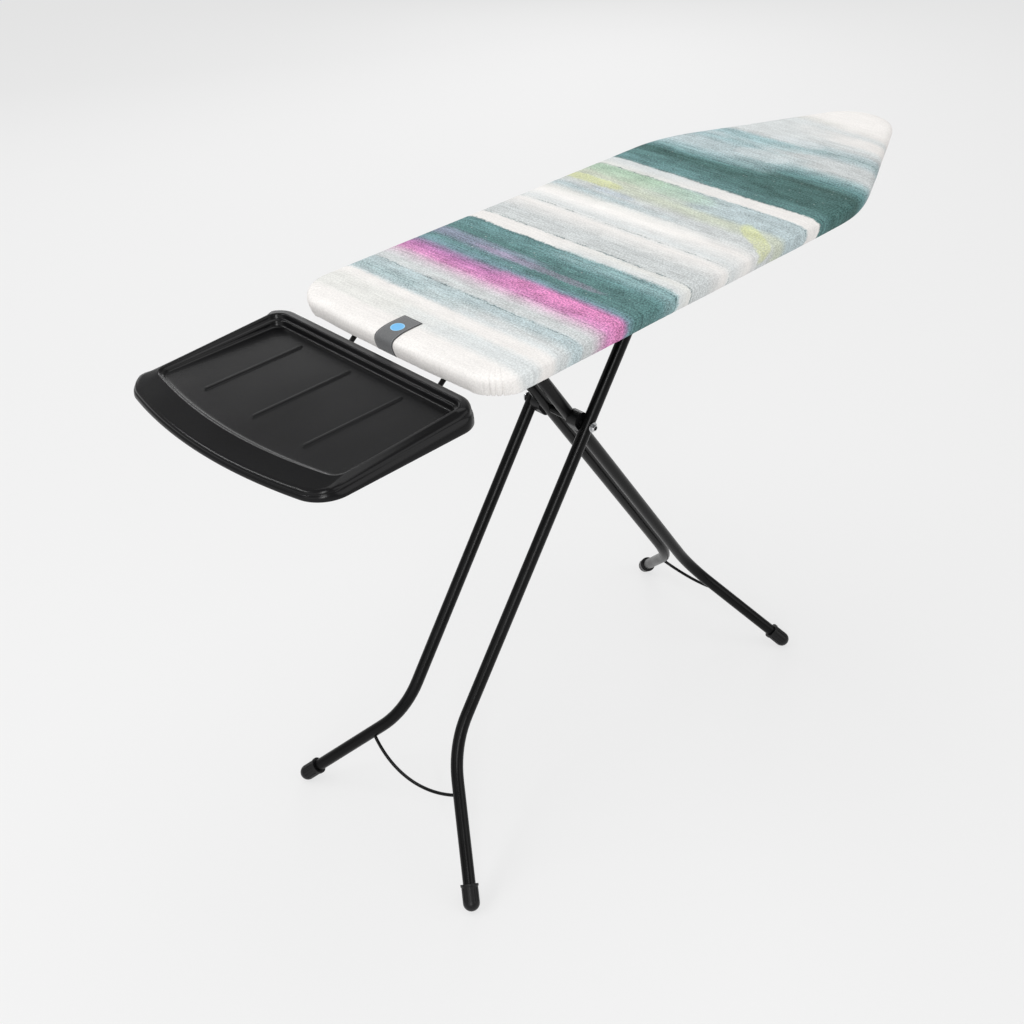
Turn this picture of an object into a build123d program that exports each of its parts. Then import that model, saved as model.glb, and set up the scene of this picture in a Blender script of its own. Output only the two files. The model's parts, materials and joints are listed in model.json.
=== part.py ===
"""Ironing board with scissor legs and a steam-unit tray.

Frame: origin on the floor under the middle of the whole length, +X towards the nose of the board,
+Z up. The legs are drawn open, at the highest setting.
"""
from build123d import *
from math import cos, radians, sin, sqrt, tan
import os

os.makedirs("parts", exist_ok=True)

# ---- driving dimensions (mm, degrees) ----
OVERALL_LENGTH = 1576
BOARD_LENGTH = 1240
BOARD_WIDTH = 456
BOARD_TOP = 980
BOARD_DEPTH = 34
TAIL_RADIUS = 70
TAPER_RADIUS = 300
NOSE_RADIUS = 78
TAPER_ANGLE = 26.1
COVER_THICK = 1.6
HEM_WIDTH = 30

TUBE_R = 11
TUBE_WALL = 1.5
LEG_SLOPE = 55.6
PIVOT_X = -94.5
PIVOT_Z = 689.5
PIVOT_TO_TOP = 285
PIVOT_TO_BEND = 606
BEND_ANGLE = 37
BEND_RADIUS = 180
OUTER_HALF = 64.5
INNER_HALF = 27
FOOT_R = 14.5

TRAY_HALF = 227.5
TRAY_BACK_X = -474.5
TRAY_FRONT_R = 827
TRAY_BOTTOM = 928
TRAY_FLOOR = 941
ROD_HALF = 100
ROD_R = 4

# ---- values that follow from them ----
NOSE_X = OVERALL_LENGTH / 2
TAIL_X = NOSE_X - BOARD_LENGTH
TRAY_FRONT_X = -OVERALL_LENGTH / 2
HALF_WIDTH = BOARD_WIDTH / 2
HEM_Z = BOARD_TOP - BOARD_DEPTH
RIM_BOTTOM = HEM_Z + 2
DECK_BOTTOM = BOARD_TOP - 11
DECK_TOP = DECK_BOTTOM + 0.9
RIM_WALL = 1.2
CROSSBAR_BOTTOM = RIM_BOTTOM + RIM_WALL

HINGE_X = PIVOT_X - PIVOT_TO_TOP * cos(radians(LEG_SLOPE))
BAR_X = PIVOT_X + PIVOT_TO_TOP * cos(radians(LEG_SLOPE))
HINGE_Z = PIVOT_Z + PIVOT_TO_TOP * sin(radians(LEG_SLOPE))
SLOPE_TO_FOOT = (PIVOT_Z - FOOT_R) / sin(radians(LEG_SLOPE))
FOOT_SPREAD = (SLOPE_TO_FOOT - PIVOT_TO_BEND) * tan(radians(BEND_ANGLE))

BAR_R = 6
HINGE_AXLE_R = 5
PIVOT_AXLE_R = 4
RUNNING = 0.05


def save(builder, name):
    """Label a finished piece and write it as one STEP file."""
    builder.part.label = name
    export_step(builder.part, f"parts/{name}.step")


def board_face(inset):
    """The board's outline, moved inwards by inset: square tail, straight sides, tapered round nose."""
    half = HALF_WIDTH - inset
    taper = radians(TAPER_ANGLE)
    apex_x = NOSE_X - NOSE_RADIUS + NOSE_RADIUS / sin(taper) - inset / sin(taper)
    shoulder_x = apex_x - half / tan(taper)
    tail_x = TAIL_X + inset
    with BuildSketch() as outline:
        with BuildLine():
            Polyline((tail_x, -half), (shoulder_x, -half), (apex_x, 0), (shoulder_x, half),
                     (tail_x, half), close=True)
        make_face()
        corners = outline.vertices().sort_by(Axis.X)
        fillet(corners[:2], TAIL_RADIUS - inset)
        corners = outline.vertices().sort_by(Axis.X)
        fillet(corners[-1], NOSE_RADIUS - inset)
        shoulders = [v for v in outline.vertices() if abs(v.X - shoulder_x) < 0.01]
        fillet(shoulders, TAPER_RADIUS - inset)
    return outline.sketch


def half_width_at(x, inset):
    """Half the width of the inset outline at x: round tail corner, side, shoulder arc, taper."""
    taper = radians(TAPER_ANGLE)
    apex_x = NOSE_X - NOSE_RADIUS + NOSE_RADIUS / sin(taper)
    arc_start = apex_x - HALF_WIDTH / tan(taper) - TAPER_RADIUS * tan(taper / 2)
    arc_end = arc_start + TAPER_RADIUS * sin(taper)
    tail_centre = TAIL_X + TAIL_RADIUS
    if x < tail_centre:
        return HALF_WIDTH - TAIL_RADIUS + sqrt((TAIL_RADIUS - inset) ** 2 - (tail_centre - x) ** 2)
    if x < arc_start:
        return HALF_WIDTH - inset
    if x < arc_end:
        return HALF_WIDTH - TAPER_RADIUS + sqrt((TAPER_RADIUS - inset) ** 2 - (x - arc_start) ** 2)
    return (apex_x - x) * tan(taper) - inset / cos(taper)


# ---- cover, label and pad ----
EDGE_RADIUS = 9
LABEL_HALF = 20
LABEL_LENGTH = 51
LABEL_THICK = 0.7
LABEL_FOOT = 3
LABEL_GAP = 0.3


def label_strip(half, depth, outset, extra):
    """A strip along the middle of the tail edge: over the top, round the edge and down the skirt.

    It reaches from outset outside the cover's skin to depth inside it.
    """
    front = TAIL_X + LABEL_LENGTH + extra
    foot = HEM_Z + LABEL_FOOT - extra
    turn_x = TAIL_X + EDGE_RADIUS
    turn_z = BOARD_TOP - EDGE_RADIUS
    with BuildPart() as strip:
        with BuildSketch(Plane.XZ.offset(-half)):
            with BuildLine():
                outer = EDGE_RADIUS + outset
                inner = EDGE_RADIUS - depth
                Line((front, turn_z + outer), (turn_x, turn_z + outer))
                CenterArc((turn_x, turn_z), outer, 90, 90)
                Line((turn_x - outer, turn_z), (turn_x - outer, foot))
                Line((turn_x - outer, foot), (turn_x - inner, foot))
                Line((turn_x - inner, foot), (turn_x - inner, turn_z))
                CenterArc((turn_x, turn_z), inner, 90, 90)
                Line((turn_x, turn_z + inner), (front, turn_z + inner))
                Line((front, turn_z + inner), (front, turn_z + outer))
            make_face()
        extrude(amount=2 * half)
    return strip


def make_cover():
    """A cotton cover: top, skirt and a hem turned in under the rim, pressed in under the label."""
    with BuildPart() as outside:
        with BuildSketch(Plane.XY.offset(HEM_Z)):
            add(board_face(0))
        extrude(amount=BOARD_DEPTH)
        fillet(outside.faces().sort_by(Axis.Z)[-1].edges(), EDGE_RADIUS)
    with BuildPart() as inside:
        with BuildSketch(Plane.XY.offset(HEM_Z + COVER_THICK)):
            add(board_face(COVER_THICK))
        extrude(amount=BOARD_DEPTH - 2 * COVER_THICK)
        fillet(inside.faces().sort_by(Axis.Z)[-1].edges(), EDGE_RADIUS - COVER_THICK)
    pocket = label_strip(LABEL_HALF + LABEL_GAP, LABEL_THICK + LABEL_GAP, 2, LABEL_GAP)
    with BuildPart() as cover:
        add(outside.part)
        add(inside.part, mode=Mode.SUBTRACT)
        with BuildSketch(Plane.XY.offset(HEM_Z - 1)):
            add(board_face(HEM_WIDTH))
        extrude(amount=COVER_THICK + 2, mode=Mode.SUBTRACT)
        add(pocket.part, mode=Mode.SUBTRACT)
    save(cover, "cover")


def make_label():
    """A woven tab, flush with the cover's skin."""
    save(label_strip(LABEL_HALF, LABEL_THICK, 0, 0), "cover_label")


def make_pad():
    """A felt pad that lies on the deck, under the cover."""
    bottom = DECK_TOP + 0.3
    top = BOARD_TOP - COVER_THICK - 0.3
    with BuildPart() as pad:
        with BuildSketch(Plane.XY.offset(bottom)):
            add(board_face(COVER_THICK + 0.4))
        extrude(amount=top - bottom)
        fillet(pad.faces().sort_by(Axis.Z)[-1].edges(), 7)
    save(pad, "pad")


# ---- steel deck ----
DECK_INSET = 3
SLOT_LENGTH = 46
SLOT_WIDTH = 13
SLOT_PITCH_X = 62
SLOT_PITCH_Y = 26


def make_deck_panel():
    """Pressed steel panel with staggered vent slots, so steam can pass."""
    slots = []
    for row in range(-7, 8):
        y = row * SLOT_PITCH_Y
        stagger = SLOT_PITCH_X / 2 if row % 2 else 0
        for step in range(-6, 12):
            x = step * SLOT_PITCH_X + stagger
            reach = half_width_at(x + SLOT_LENGTH / 2, 26)
            tail_room = x - SLOT_LENGTH / 2 - TAIL_X
            if abs(y) + SLOT_WIDTH / 2 < reach and tail_room > 40:
                slots.append((x, y))
    with BuildPart() as panel:
        with BuildSketch(Plane.XY.offset(DECK_BOTTOM)):
            add(board_face(DECK_INSET))
            with Locations(*slots):
                SlotOverall(SLOT_LENGTH, SLOT_WIDTH, mode=Mode.SUBTRACT)
        extrude(amount=DECK_TOP - DECK_BOTTOM)
    save(panel, "deck_panel")


RIM_FLANGE = 13


def make_rim():
    """Folded steel rim: an upright wall under the panel's edge with a flange turned in."""
    with BuildPart() as rim:
        with BuildSketch(Plane.XY.offset(RIM_BOTTOM)):
            add(board_face(DECK_INSET))
        extrude(amount=DECK_BOTTOM - RIM_BOTTOM)
        with BuildSketch(Plane.XY.offset(RIM_BOTTOM + RIM_WALL)):
            add(board_face(DECK_INSET + RIM_WALL))
        extrude(amount=DECK_BOTTOM - RIM_BOTTOM - RIM_WALL, mode=Mode.SUBTRACT)
        with BuildSketch(Plane.XY.offset(RIM_BOTTOM)):
            add(board_face(DECK_INSET + RIM_FLANGE))
        extrude(amount=RIM_WALL, mode=Mode.SUBTRACT)
    save(rim, "deck_rim")


CROSSBARS = {
    "crossbar_tail": TAIL_X + 75,
    "crossbar_hinge": HINGE_X,
    "crossbar_mid": HINGE_X + 235.5,
    "crossbar_front": HINGE_X + 635.5,
    "crossbar_nose": HINGE_X + 855.5,
}
CROSSBAR_WIDTH = 30
CHANNEL_WALL = 1.2


def make_crossbars():
    """Top-hat channels across the underside of the deck, ending on the rim's flange."""
    height = DECK_BOTTOM - CROSSBAR_BOTTOM
    for name, x in CROSSBARS.items():
        ends = (x - CROSSBAR_WIDTH / 2, x + CROSSBAR_WIDTH / 2)
        reach = min(half_width_at(end, DECK_INSET + RIM_WALL + 0.3) for end in ends)
        with BuildPart() as bar:
            with BuildSketch(Plane.XZ.offset(-reach)):
                with Locations((x, CROSSBAR_BOTTOM)):
                    Rectangle(CROSSBAR_WIDTH, height, align=(Align.CENTER, Align.MIN))
                with Locations((x, CROSSBAR_BOTTOM + CHANNEL_WALL)):
                    Rectangle(CROSSBAR_WIDTH - 2 * CHANNEL_WALL, height,
                              align=(Align.CENTER, Align.MIN), mode=Mode.SUBTRACT)
            extrude(amount=2 * reach)
        save(bar, name)


# ---- slide rails, hinge bracket ----
GLIDE_R = 8.9
GLIDE_CLEAR = 0.3
RAIL_WEB = 104
RAIL_LIP = 12
RAIL_START = -300
RAIL_END = 395
LEVER_X = 20
ARM_WIDTH = 16


def make_rail(side, name):
    """C-section rail that carries one end of the sliding top bar."""
    floor = HINGE_Z - GLIDE_R - GLIDE_CLEAR
    roof = HINGE_Z + GLIDE_R + GLIDE_CLEAR
    wall = CHANNEL_WALL
    with BuildPart() as rail:
        with BuildSketch(Plane.YZ.offset(RAIL_START)):
            with Locations((side * (RAIL_WEB + wall / 2), floor - wall)):
                Rectangle(wall, CROSSBAR_BOTTOM - floor + wall, align=(Align.CENTER, Align.MIN))
            for z in (floor - wall, roof):
                with Locations((side * (RAIL_WEB - RAIL_LIP / 2), z)):
                    Rectangle(RAIL_LIP, wall, align=(Align.CENTER, Align.MIN))
            with Locations((side * (RAIL_WEB + 7.5), CROSSBAR_BOTTOM - wall)):
                Rectangle(15, wall, align=(Align.CENTER, Align.MIN))
        extrude(amount=RAIL_END - RAIL_START)
        if side < 0:
            with Locations((LEVER_X, side * (RAIL_WEB + 7), CROSSBAR_BOTTOM)):
                Box(ARM_WIDTH + 12, 30, 24, mode=Mode.SUBTRACT)
    save(rail, name)


CHEEK_Y = 42
CHEEK_THICK = 3


def make_hinge_bracket():
    """U bracket under the hinge crossbar; its cheeks hold the ends of the hinge axle."""
    with BuildPart() as bracket:
        with BuildSketch(Plane.XY.offset(CROSSBAR_BOTTOM - CHEEK_THICK)):
            with Locations((HINGE_X, 0)):
                Rectangle(44, 2 * (CHEEK_Y + CHEEK_THICK))
        extrude(amount=CHEEK_THICK)
        for side in (-1, 1):
            start = side * CHEEK_Y if side > 0 else side * (CHEEK_Y + CHEEK_THICK)
            with BuildSketch(Plane.XZ.offset(-start)) as cheek:
                with Locations((HINGE_X, HINGE_Z)):
                    Circle(15)
                with Locations((HINGE_X, (HINGE_Z + CROSSBAR_BOTTOM - CHEEK_THICK) / 2)):
                    Rectangle(30, CROSSBAR_BOTTOM - CHEEK_THICK - HINGE_Z)
                with Locations((HINGE_X, HINGE_Z)):
                    Circle(HINGE_AXLE_R + RUNNING, mode=Mode.SUBTRACT)
            extrude(amount=-CHEEK_THICK)
    save(bracket, "hinge_bracket")


# ---- leg frames ----
def frame_plane(lean):
    """Plane of a leg frame through the pivot: local x climbs the slope, local y is the row's Y."""
    slope = radians(LEG_SLOPE)
    up = Vector(lean * cos(slope), 0, sin(slope))
    return Plane(origin=(PIVOT_X, 0, PIVOT_Z), x_dir=up, z_dir=up.cross(Vector(0, 1, 0)))


def foot_point(half, side, back_off=0):
    """Centre of a foot cap's dome in the frame plane, or a point back_off up the lower leg."""
    bend = radians(BEND_ANGLE)
    along = -SLOPE_TO_FOOT + back_off * cos(bend)
    across = half + FOOT_SPREAD - back_off * sin(bend)
    return along, side * across


TOP_EXTRA = 13


def make_leg_tube(lean, half, side, name, holes):
    """One bent tube of a leg frame, with cross holes as (x, z, radius)."""
    plane = frame_plane(lean)
    with BuildPart() as tube:
        with BuildLine(plane) as path:
            FilletPolyline((PIVOT_TO_TOP + TOP_EXTRA, side * half), (-PIVOT_TO_BEND, side * half),
                           foot_point(half, side, 2), radius=BEND_RADIUS)
        with BuildSketch(Plane(origin=path.wire() @ 0, z_dir=path.wire() % 0)):
            Circle(TUBE_R)
            Circle(TUBE_R - TUBE_WALL, mode=Mode.SUBTRACT)
        sweep(path=path.wire())
        for x, z, radius in holes:
            with Locations((x, side * half, z)):
                Cylinder(radius, 3 * TUBE_R, rotation=(90, 0, 0), mode=Mode.SUBTRACT)
    save(tube, name)


CAP_LENGTH = 31
CAP_GROOVES = 14


def make_foot(lean, half, side, name):
    """Ribbed cap with a domed end and a collar, pushed on the end of a leg."""
    plane = frame_plane(lean)
    centre = plane.from_local_coords(Vector(*foot_point(half, side), 0))
    above = plane.from_local_coords(Vector(*foot_point(half, side, 10), 0))
    axis = (above - centre).normalized()
    across = Plane(origin=centre, z_dir=axis)
    profile = Plane(origin=centre, x_dir=across.x_dir, z_dir=across.y_dir * -1)
    bore = TUBE_R + 0.05
    with BuildPart() as cap:
        with BuildSketch(profile):
            with BuildLine():
                ThreePointArc((0, -FOOT_R), (FOOT_R * sin(radians(45)), -FOOT_R * cos(radians(45))),
                              (FOOT_R, 0))
                Polyline((FOOT_R, 0), (FOOT_R, CAP_LENGTH - 5), (FOOT_R + 1.2, CAP_LENGTH - 4),
                         (FOOT_R + 1.2, CAP_LENGTH), (bore, CAP_LENGTH), (bore, 2), (0, 2),
                         (0, -FOOT_R))
            make_face()
        revolve(axis=Axis(centre, axis))
        with BuildSketch(across.offset(1)):
            with PolarLocations(FOOT_R, CAP_GROOVES):
                Rectangle(1.6, 1.6)
        extrude(amount=CAP_LENGTH - 8, mode=Mode.SUBTRACT)
    save(cap, name)


def make_plugs(lean, half, name):
    """Plastic plugs in the open upper ends of a frame's two tubes."""
    plane = frame_plane(lean)
    top = PIVOT_TO_TOP + TOP_EXTRA
    with BuildPart() as plugs:
        for side in (-1, 1):
            end = plane.from_local_coords(Vector(top, side * half, 0))
            with BuildSketch(Plane(origin=end, z_dir=plane.x_dir)):
                Circle(TUBE_R)
            extrude(amount=1.5)
            with BuildSketch(Plane(origin=end, z_dir=plane.x_dir)):
                Circle(TUBE_R - TUBE_WALL - 0.05)
            extrude(amount=-4)
    save(plugs, name)


BRACE_R = 3
BRACE_ALONG = 678
BRACE_SAG = 28


def make_brace(lean, half, name):
    """Bowed wire between the splayed lower legs of one frame; its ends sit in the tubes."""
    plane = frame_plane(lean)
    reach = half + (BRACE_ALONG - PIVOT_TO_BEND) * tan(radians(BEND_ANGLE)) - TUBE_R + 1
    with BuildPart() as brace:
        with BuildLine(plane) as path:
            ThreePointArc((-BRACE_ALONG, -reach), (-BRACE_ALONG - BRACE_SAG, 0), (-BRACE_ALONG, reach))
        with BuildSketch(Plane(origin=path.wire() @ 0, z_dir=path.wire() % 0)):
            Circle(BRACE_R)
        sweep(path=path.wire())
    save(brace, name)


def y_rod(name, x, z, radius, half_length):
    """A plain round rod along Y."""
    with BuildPart() as rod:
        with BuildSketch(Plane.XZ.offset(-half_length)):
            with Locations((x, z)):
                Circle(radius)
        extrude(amount=2 * half_length)
        chamfer(rod.edges().filter_by(GeomType.CIRCLE), 0.6)
    save(rod, name)


def y_rings(name, x, z, outer, bore, start, thick):
    """Two rings round a Y axis, each from |y| = start outwards; from start 0 they form one."""
    with BuildPart() as rings:
        for side in (-1, 1):
            near_y = start if side > 0 else -start - thick
            with BuildSketch(Plane.XZ.offset(-near_y)):
                with Locations((x, z)):
                    Circle(outer)
                    Circle(bore, mode=Mode.SUBTRACT)
            extrude(amount=-thick)
    save(rings, name)


NUT_START = OUTER_HALF + TUBE_R + 2.3
NUT_R = 6.6
NUT_HEX = 2.6
NUT_COLLAR = 2.2
PIVOT_HALF_LENGTH = NUT_START + NUT_HEX + 1


def make_pivot_nuts():
    """Chromed collar nuts on both ends of the pivot axle, open at the end."""
    with BuildPart() as nuts:
        for side in (-1, 1):
            plane = Plane(origin=(PIVOT_X, side * NUT_START, PIVOT_Z), z_dir=(0, side, 0))
            with BuildSketch(plane):
                RegularPolygon(radius=NUT_R, side_count=6)
            extrude(amount=NUT_HEX)
            with BuildSketch(plane.offset(NUT_HEX)):
                Circle(NUT_R - 0.9)
            extrude(amount=NUT_COLLAR, taper=20)
            with BuildSketch(plane):
                Circle(PIVOT_AXLE_R + 0.02)
            extrude(amount=NUT_HEX + NUT_COLLAR, mode=Mode.SUBTRACT)
    save(nuts, "pivot_nuts")


SPACER_HEIGHT = 30
SPACER_CENTRES = 12


def make_pivot_spacers():
    """Moulded spacers between inner and outer tubes, each with a saddle for the inner tube."""
    inner_side = INNER_HALF + TUBE_R
    gap = OUTER_HALF - TUBE_R - inner_side
    slope = radians(LEG_SLOPE)
    with BuildPart() as spacers:
        for side in (-1, 1):
            plane = Plane(origin=(PIVOT_X, side * (inner_side - 6), PIVOT_Z),
                          x_dir=(-cos(slope), 0, sin(slope)), z_dir=(0, side, 0))
            with BuildSketch(plane):
                SlotCenterToCenter(SPACER_CENTRES, SPACER_HEIGHT)
            extrude(amount=gap + 6 - 0.4)
            with Locations(Location(plane)):
                with Locations((0, 0, -5)):
                    Cylinder(TUBE_R + 0.05, 80, rotation=(0, 90, 0), mode=Mode.SUBTRACT)
                Cylinder(PIVOT_AXLE_R + 0.05, 80, mode=Mode.SUBTRACT)
    save(spacers, "pivot_spacers")


# ---- release lever ----
LEVER_AXIS_Y = 34
LEVER_AXIS_Z = 942
LEVER_PIN_R = 3
EAR_X = (2, 35)
EAR_THICK = 3
GRIP_START = -130
GRIP_END = -192


def make_lever_bracket():
    """Two ears under the mid crossbar that hold the lever's pin."""
    base_start = CROSSBARS["crossbar_mid"] - CROSSBAR_WIDTH / 2
    base_end = EAR_X[1] + EAR_THICK
    with BuildPart() as bracket:
        with BuildSketch(Plane.XY.offset(CROSSBAR_BOTTOM - 2)):
            with Locations(((base_start + base_end) / 2, LEVER_AXIS_Y + 4)):
                Rectangle(base_end - base_start, 16)
        extrude(amount=2)
        for x in EAR_X:
            with BuildSketch(Plane.YZ.offset(x)):
                with Locations((LEVER_AXIS_Y, LEVER_AXIS_Z)):
                    Circle(6)
                with Locations((LEVER_AXIS_Y + 2, (LEVER_AXIS_Z + CROSSBAR_BOTTOM - 2) / 2)):
                    Rectangle(12, CROSSBAR_BOTTOM - 2 - LEVER_AXIS_Z)
                with Locations((LEVER_AXIS_Y, LEVER_AXIS_Z)):
                    Circle(LEVER_PIN_R + 0.02, mode=Mode.SUBTRACT)
            extrude(amount=EAR_THICK)
    save(bracket, "lever_bracket")


SPRING_R = 4.2
SPRING_PITCH = 2.2
SPRING_LENGTH = 9
ARM_BOTTOM = LEVER_AXIS_Z - 2
ARM_THICK = 4
ARM_MIDDLE = ARM_BOTTOM + ARM_THICK / 2
GRIP_WALL = 12
GRIP_WIDTH = 46
GRIP_HEIGHT = 13
PUSH_FIT = 0.1
STRIP_Y = -20
STRIP_END = 335
STRIP_THICK = 4
NOTCH_DEPTH = 4
NOTCH_WIDTH = 14
NOTCH_PITCH = 46


def make_lever_pin():
    """The lever's pin and the return spring wound on its free end."""
    with BuildPart() as pin:
        with BuildSketch(Plane.YZ.offset(EAR_X[0] - 4)):
            with Locations((LEVER_AXIS_Y, LEVER_AXIS_Z)):
                Circle(LEVER_PIN_R)
        extrude(amount=54)
    save(pin, "lever_pin")

    with BuildPart() as spring:
        with BuildLine() as path:
            Helix(pitch=SPRING_PITCH, height=SPRING_LENGTH, radius=SPRING_R,
                  center=(EAR_X[1] + EAR_THICK + 1.5, LEVER_AXIS_Y, LEVER_AXIS_Z), direction=(1, 0, 0))
        with BuildSketch(Plane(origin=path.wire() @ 0, z_dir=path.wire() % 0)):
            Circle(0.7)
        sweep(path=path.wire(), is_frenet=True)
    save(spring, "lever_spring")


def make_lever_arm():
    """Flat arm with the eye that turns on the pin."""
    arm_length = LEVER_AXIS_Y - GRIP_END - GRIP_WALL
    with BuildPart() as arm:
        with BuildSketch(Plane.XY.offset(ARM_BOTTOM)):
            with Locations((LEVER_X, LEVER_AXIS_Y - arm_length / 2)):
                Rectangle(ARM_WIDTH, arm_length)
        extrude(amount=ARM_THICK)
        with BuildSketch(Plane.YZ.offset(EAR_X[0] + EAR_THICK + 1)):
            with Locations((LEVER_AXIS_Y, LEVER_AXIS_Z)):
                Circle(5)
        extrude(amount=EAR_X[1] - EAR_X[0] - EAR_THICK - 2)
        with BuildSketch(Plane.YZ):
            with Locations((LEVER_AXIS_Y, LEVER_AXIS_Z)):
                Circle(LEVER_PIN_R + RUNNING)
        extrude(amount=50, mode=Mode.SUBTRACT)
    save(arm, "lever_arm")


def make_lever_grip():
    """Plastic grip pushed over the arm's end."""
    length = GRIP_START - GRIP_END
    slot = (ARM_WIDTH + PUSH_FIT, length - GRIP_WALL + 2 * PUSH_FIT, ARM_THICK + PUSH_FIT)
    with BuildPart() as grip:
        with Locations((LEVER_X, (GRIP_START + GRIP_END) / 2, ARM_MIDDLE - 1)):
            Box(GRIP_WIDTH, length, GRIP_HEIGHT)
        fillet(grip.edges().filter_by(Axis.Z), 9)
        fillet(grip.edges().group_by(Axis.Z)[0], 4)
        with Locations((LEVER_X, (GRIP_START + GRIP_END + GRIP_WALL) / 2, ARM_MIDDLE)):
            Box(*slot, mode=Mode.SUBTRACT)
        with Locations((LEVER_X, GRIP_START - 2, ARM_MIDDLE)):
            Box(slot[0], 8, slot[2], mode=Mode.SUBTRACT)
    save(grip, "lever_grip")


def make_lock_strip():
    """Notched strip on the lever's arm; a notch holds the sliding bar at each height."""
    start = LEVER_X + ARM_WIDTH / 2
    tooth_z = HINGE_Z + BAR_R + 0.6
    notches = [BAR_X + step * NOTCH_PITCH for step in range(6)]
    with BuildPart() as strip:
        with BuildSketch(Plane.XZ.offset(-STRIP_Y - STRIP_THICK / 2)):
            with Locations(((start + STRIP_END) / 2, tooth_z)):
                Rectangle(STRIP_END - start, ARM_BOTTOM + ARM_THICK - tooth_z,
                          align=(Align.CENTER, Align.MIN))
            with Locations(*[(x, tooth_z) for x in notches]):
                Rectangle(NOTCH_WIDTH, 2 * NOTCH_DEPTH, mode=Mode.SUBTRACT)
        extrude(amount=-STRIP_THICK)
    save(strip, "lock_strip")


# ---- tray and its rods ----
SOCKET_Z = 938
SOCKET_START = TAIL_X + 34
SOCKET_END = SOCKET_START + 100
TRAY_ROD_Z = 922
ROD_BEND_START = TAIL_X + 4
ROD_BEND_END = TAIL_X + 24
ROD_BEND_R = 9


def tray_face(inset):
    """Outline of the tray moved inwards: bowed front, straight sides, round corners."""
    half = TRAY_HALF - inset
    front = TRAY_FRONT_X + inset
    radius = TRAY_FRONT_R - inset
    corner_x = front + radius - sqrt(radius * radius - half * half)
    back = TRAY_BACK_X - inset
    with BuildSketch() as outline:
        with BuildLine():
            ThreePointArc((corner_x, -half), (front, 0), (corner_x, half))
            Polyline((corner_x, half), (back, half), (back, -half), (corner_x, -half))
        make_face()
        corners = outline.vertices().sort_by(Axis.X)
        fillet(corners[:2], 50 - inset * 0.6)
        corners = outline.vertices().sort_by(Axis.X)
        fillet(corners[-2:], 38 - inset * 0.6)
    return outline.sketch


TRAY_WALL = 3
RIM_HIGH = TRAY_BOTTOM + 31
RIM_FRONT = TRAY_BOTTOM + 19
LIP_EDGE = TRAY_BOTTOM + 11
LIP_WIDTH = 62
RIM_LEVEL = 30
RECESS_INSET = 19
RECESS_FRONT = 45
RECESS_BOW = 26
RECESS_CORNER = 22
RIB_LENGTH = 174
RIB_WIDTH = 8
RIB_HEIGHT = 1.6
RIB_X = TRAY_BACK_X - 134
RIB_YS = (-113, 0, 113)
TRIM = 5


def make_tray():
    """Moulded tray: high rim at the board, falling to a wide front lip, with a recessed floor."""
    with BuildPart() as tray:
        with BuildSketch(Plane.XY.offset(TRAY_BOTTOM)):
            add(tray_face(0))
        extrude(amount=RIM_HIGH - TRAY_BOTTOM)
        with BuildSketch(Plane.XZ.offset(-TRAY_HALF - TRIM)):
            with BuildLine():
                Polyline((TRAY_FRONT_X - TRIM, LIP_EDGE), (TRAY_FRONT_X + LIP_WIDTH, RIM_FRONT),
                         (TRAY_BACK_X - RIM_LEVEL, RIM_HIGH), (TRAY_BACK_X + TRIM, RIM_HIGH),
                         (TRAY_BACK_X + TRIM, RIM_HIGH + TRIM),
                         (TRAY_FRONT_X - TRIM, RIM_HIGH + TRIM), close=True)
            make_face()
        extrude(amount=2 * (TRAY_HALF + TRIM), mode=Mode.SUBTRACT)
        with BuildSketch(Plane.XY.offset(TRAY_FLOOR)):
            half = TRAY_HALF - RECESS_INSET
            front = TRAY_FRONT_X + RECESS_FRONT
            side_x = front + RECESS_BOW
            back = TRAY_BACK_X - RECESS_INSET
            with BuildLine():
                ThreePointArc((side_x, -half), (front, 0), (side_x, half))
                Polyline((side_x, half), (back, half), (back, -half), (side_x, -half))
            make_face()
            fillet(vertices(), RECESS_CORNER)
        extrude(amount=RIM_HIGH - TRAY_FLOOR + TRIM, mode=Mode.SUBTRACT)
        with BuildSketch(Plane.XY.offset(TRAY_BOTTOM)):
            add(tray_face(TRAY_WALL))
        extrude(amount=TRAY_FLOOR - TRAY_WALL - TRAY_BOTTOM, mode=Mode.SUBTRACT)
        with BuildSketch(Plane.XY.offset(TRAY_FLOOR)):
            with Locations(*[(RIB_X, y) for y in RIB_YS]):
                SlotOverall(RIB_LENGTH, RIB_WIDTH)
        extrude(amount=RIB_HEIGHT)
    save(tray, "tray")


ROD_REACH = TRAY_FRONT_X + 70
TIE_X = TRAY_FRONT_X + 90


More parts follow.
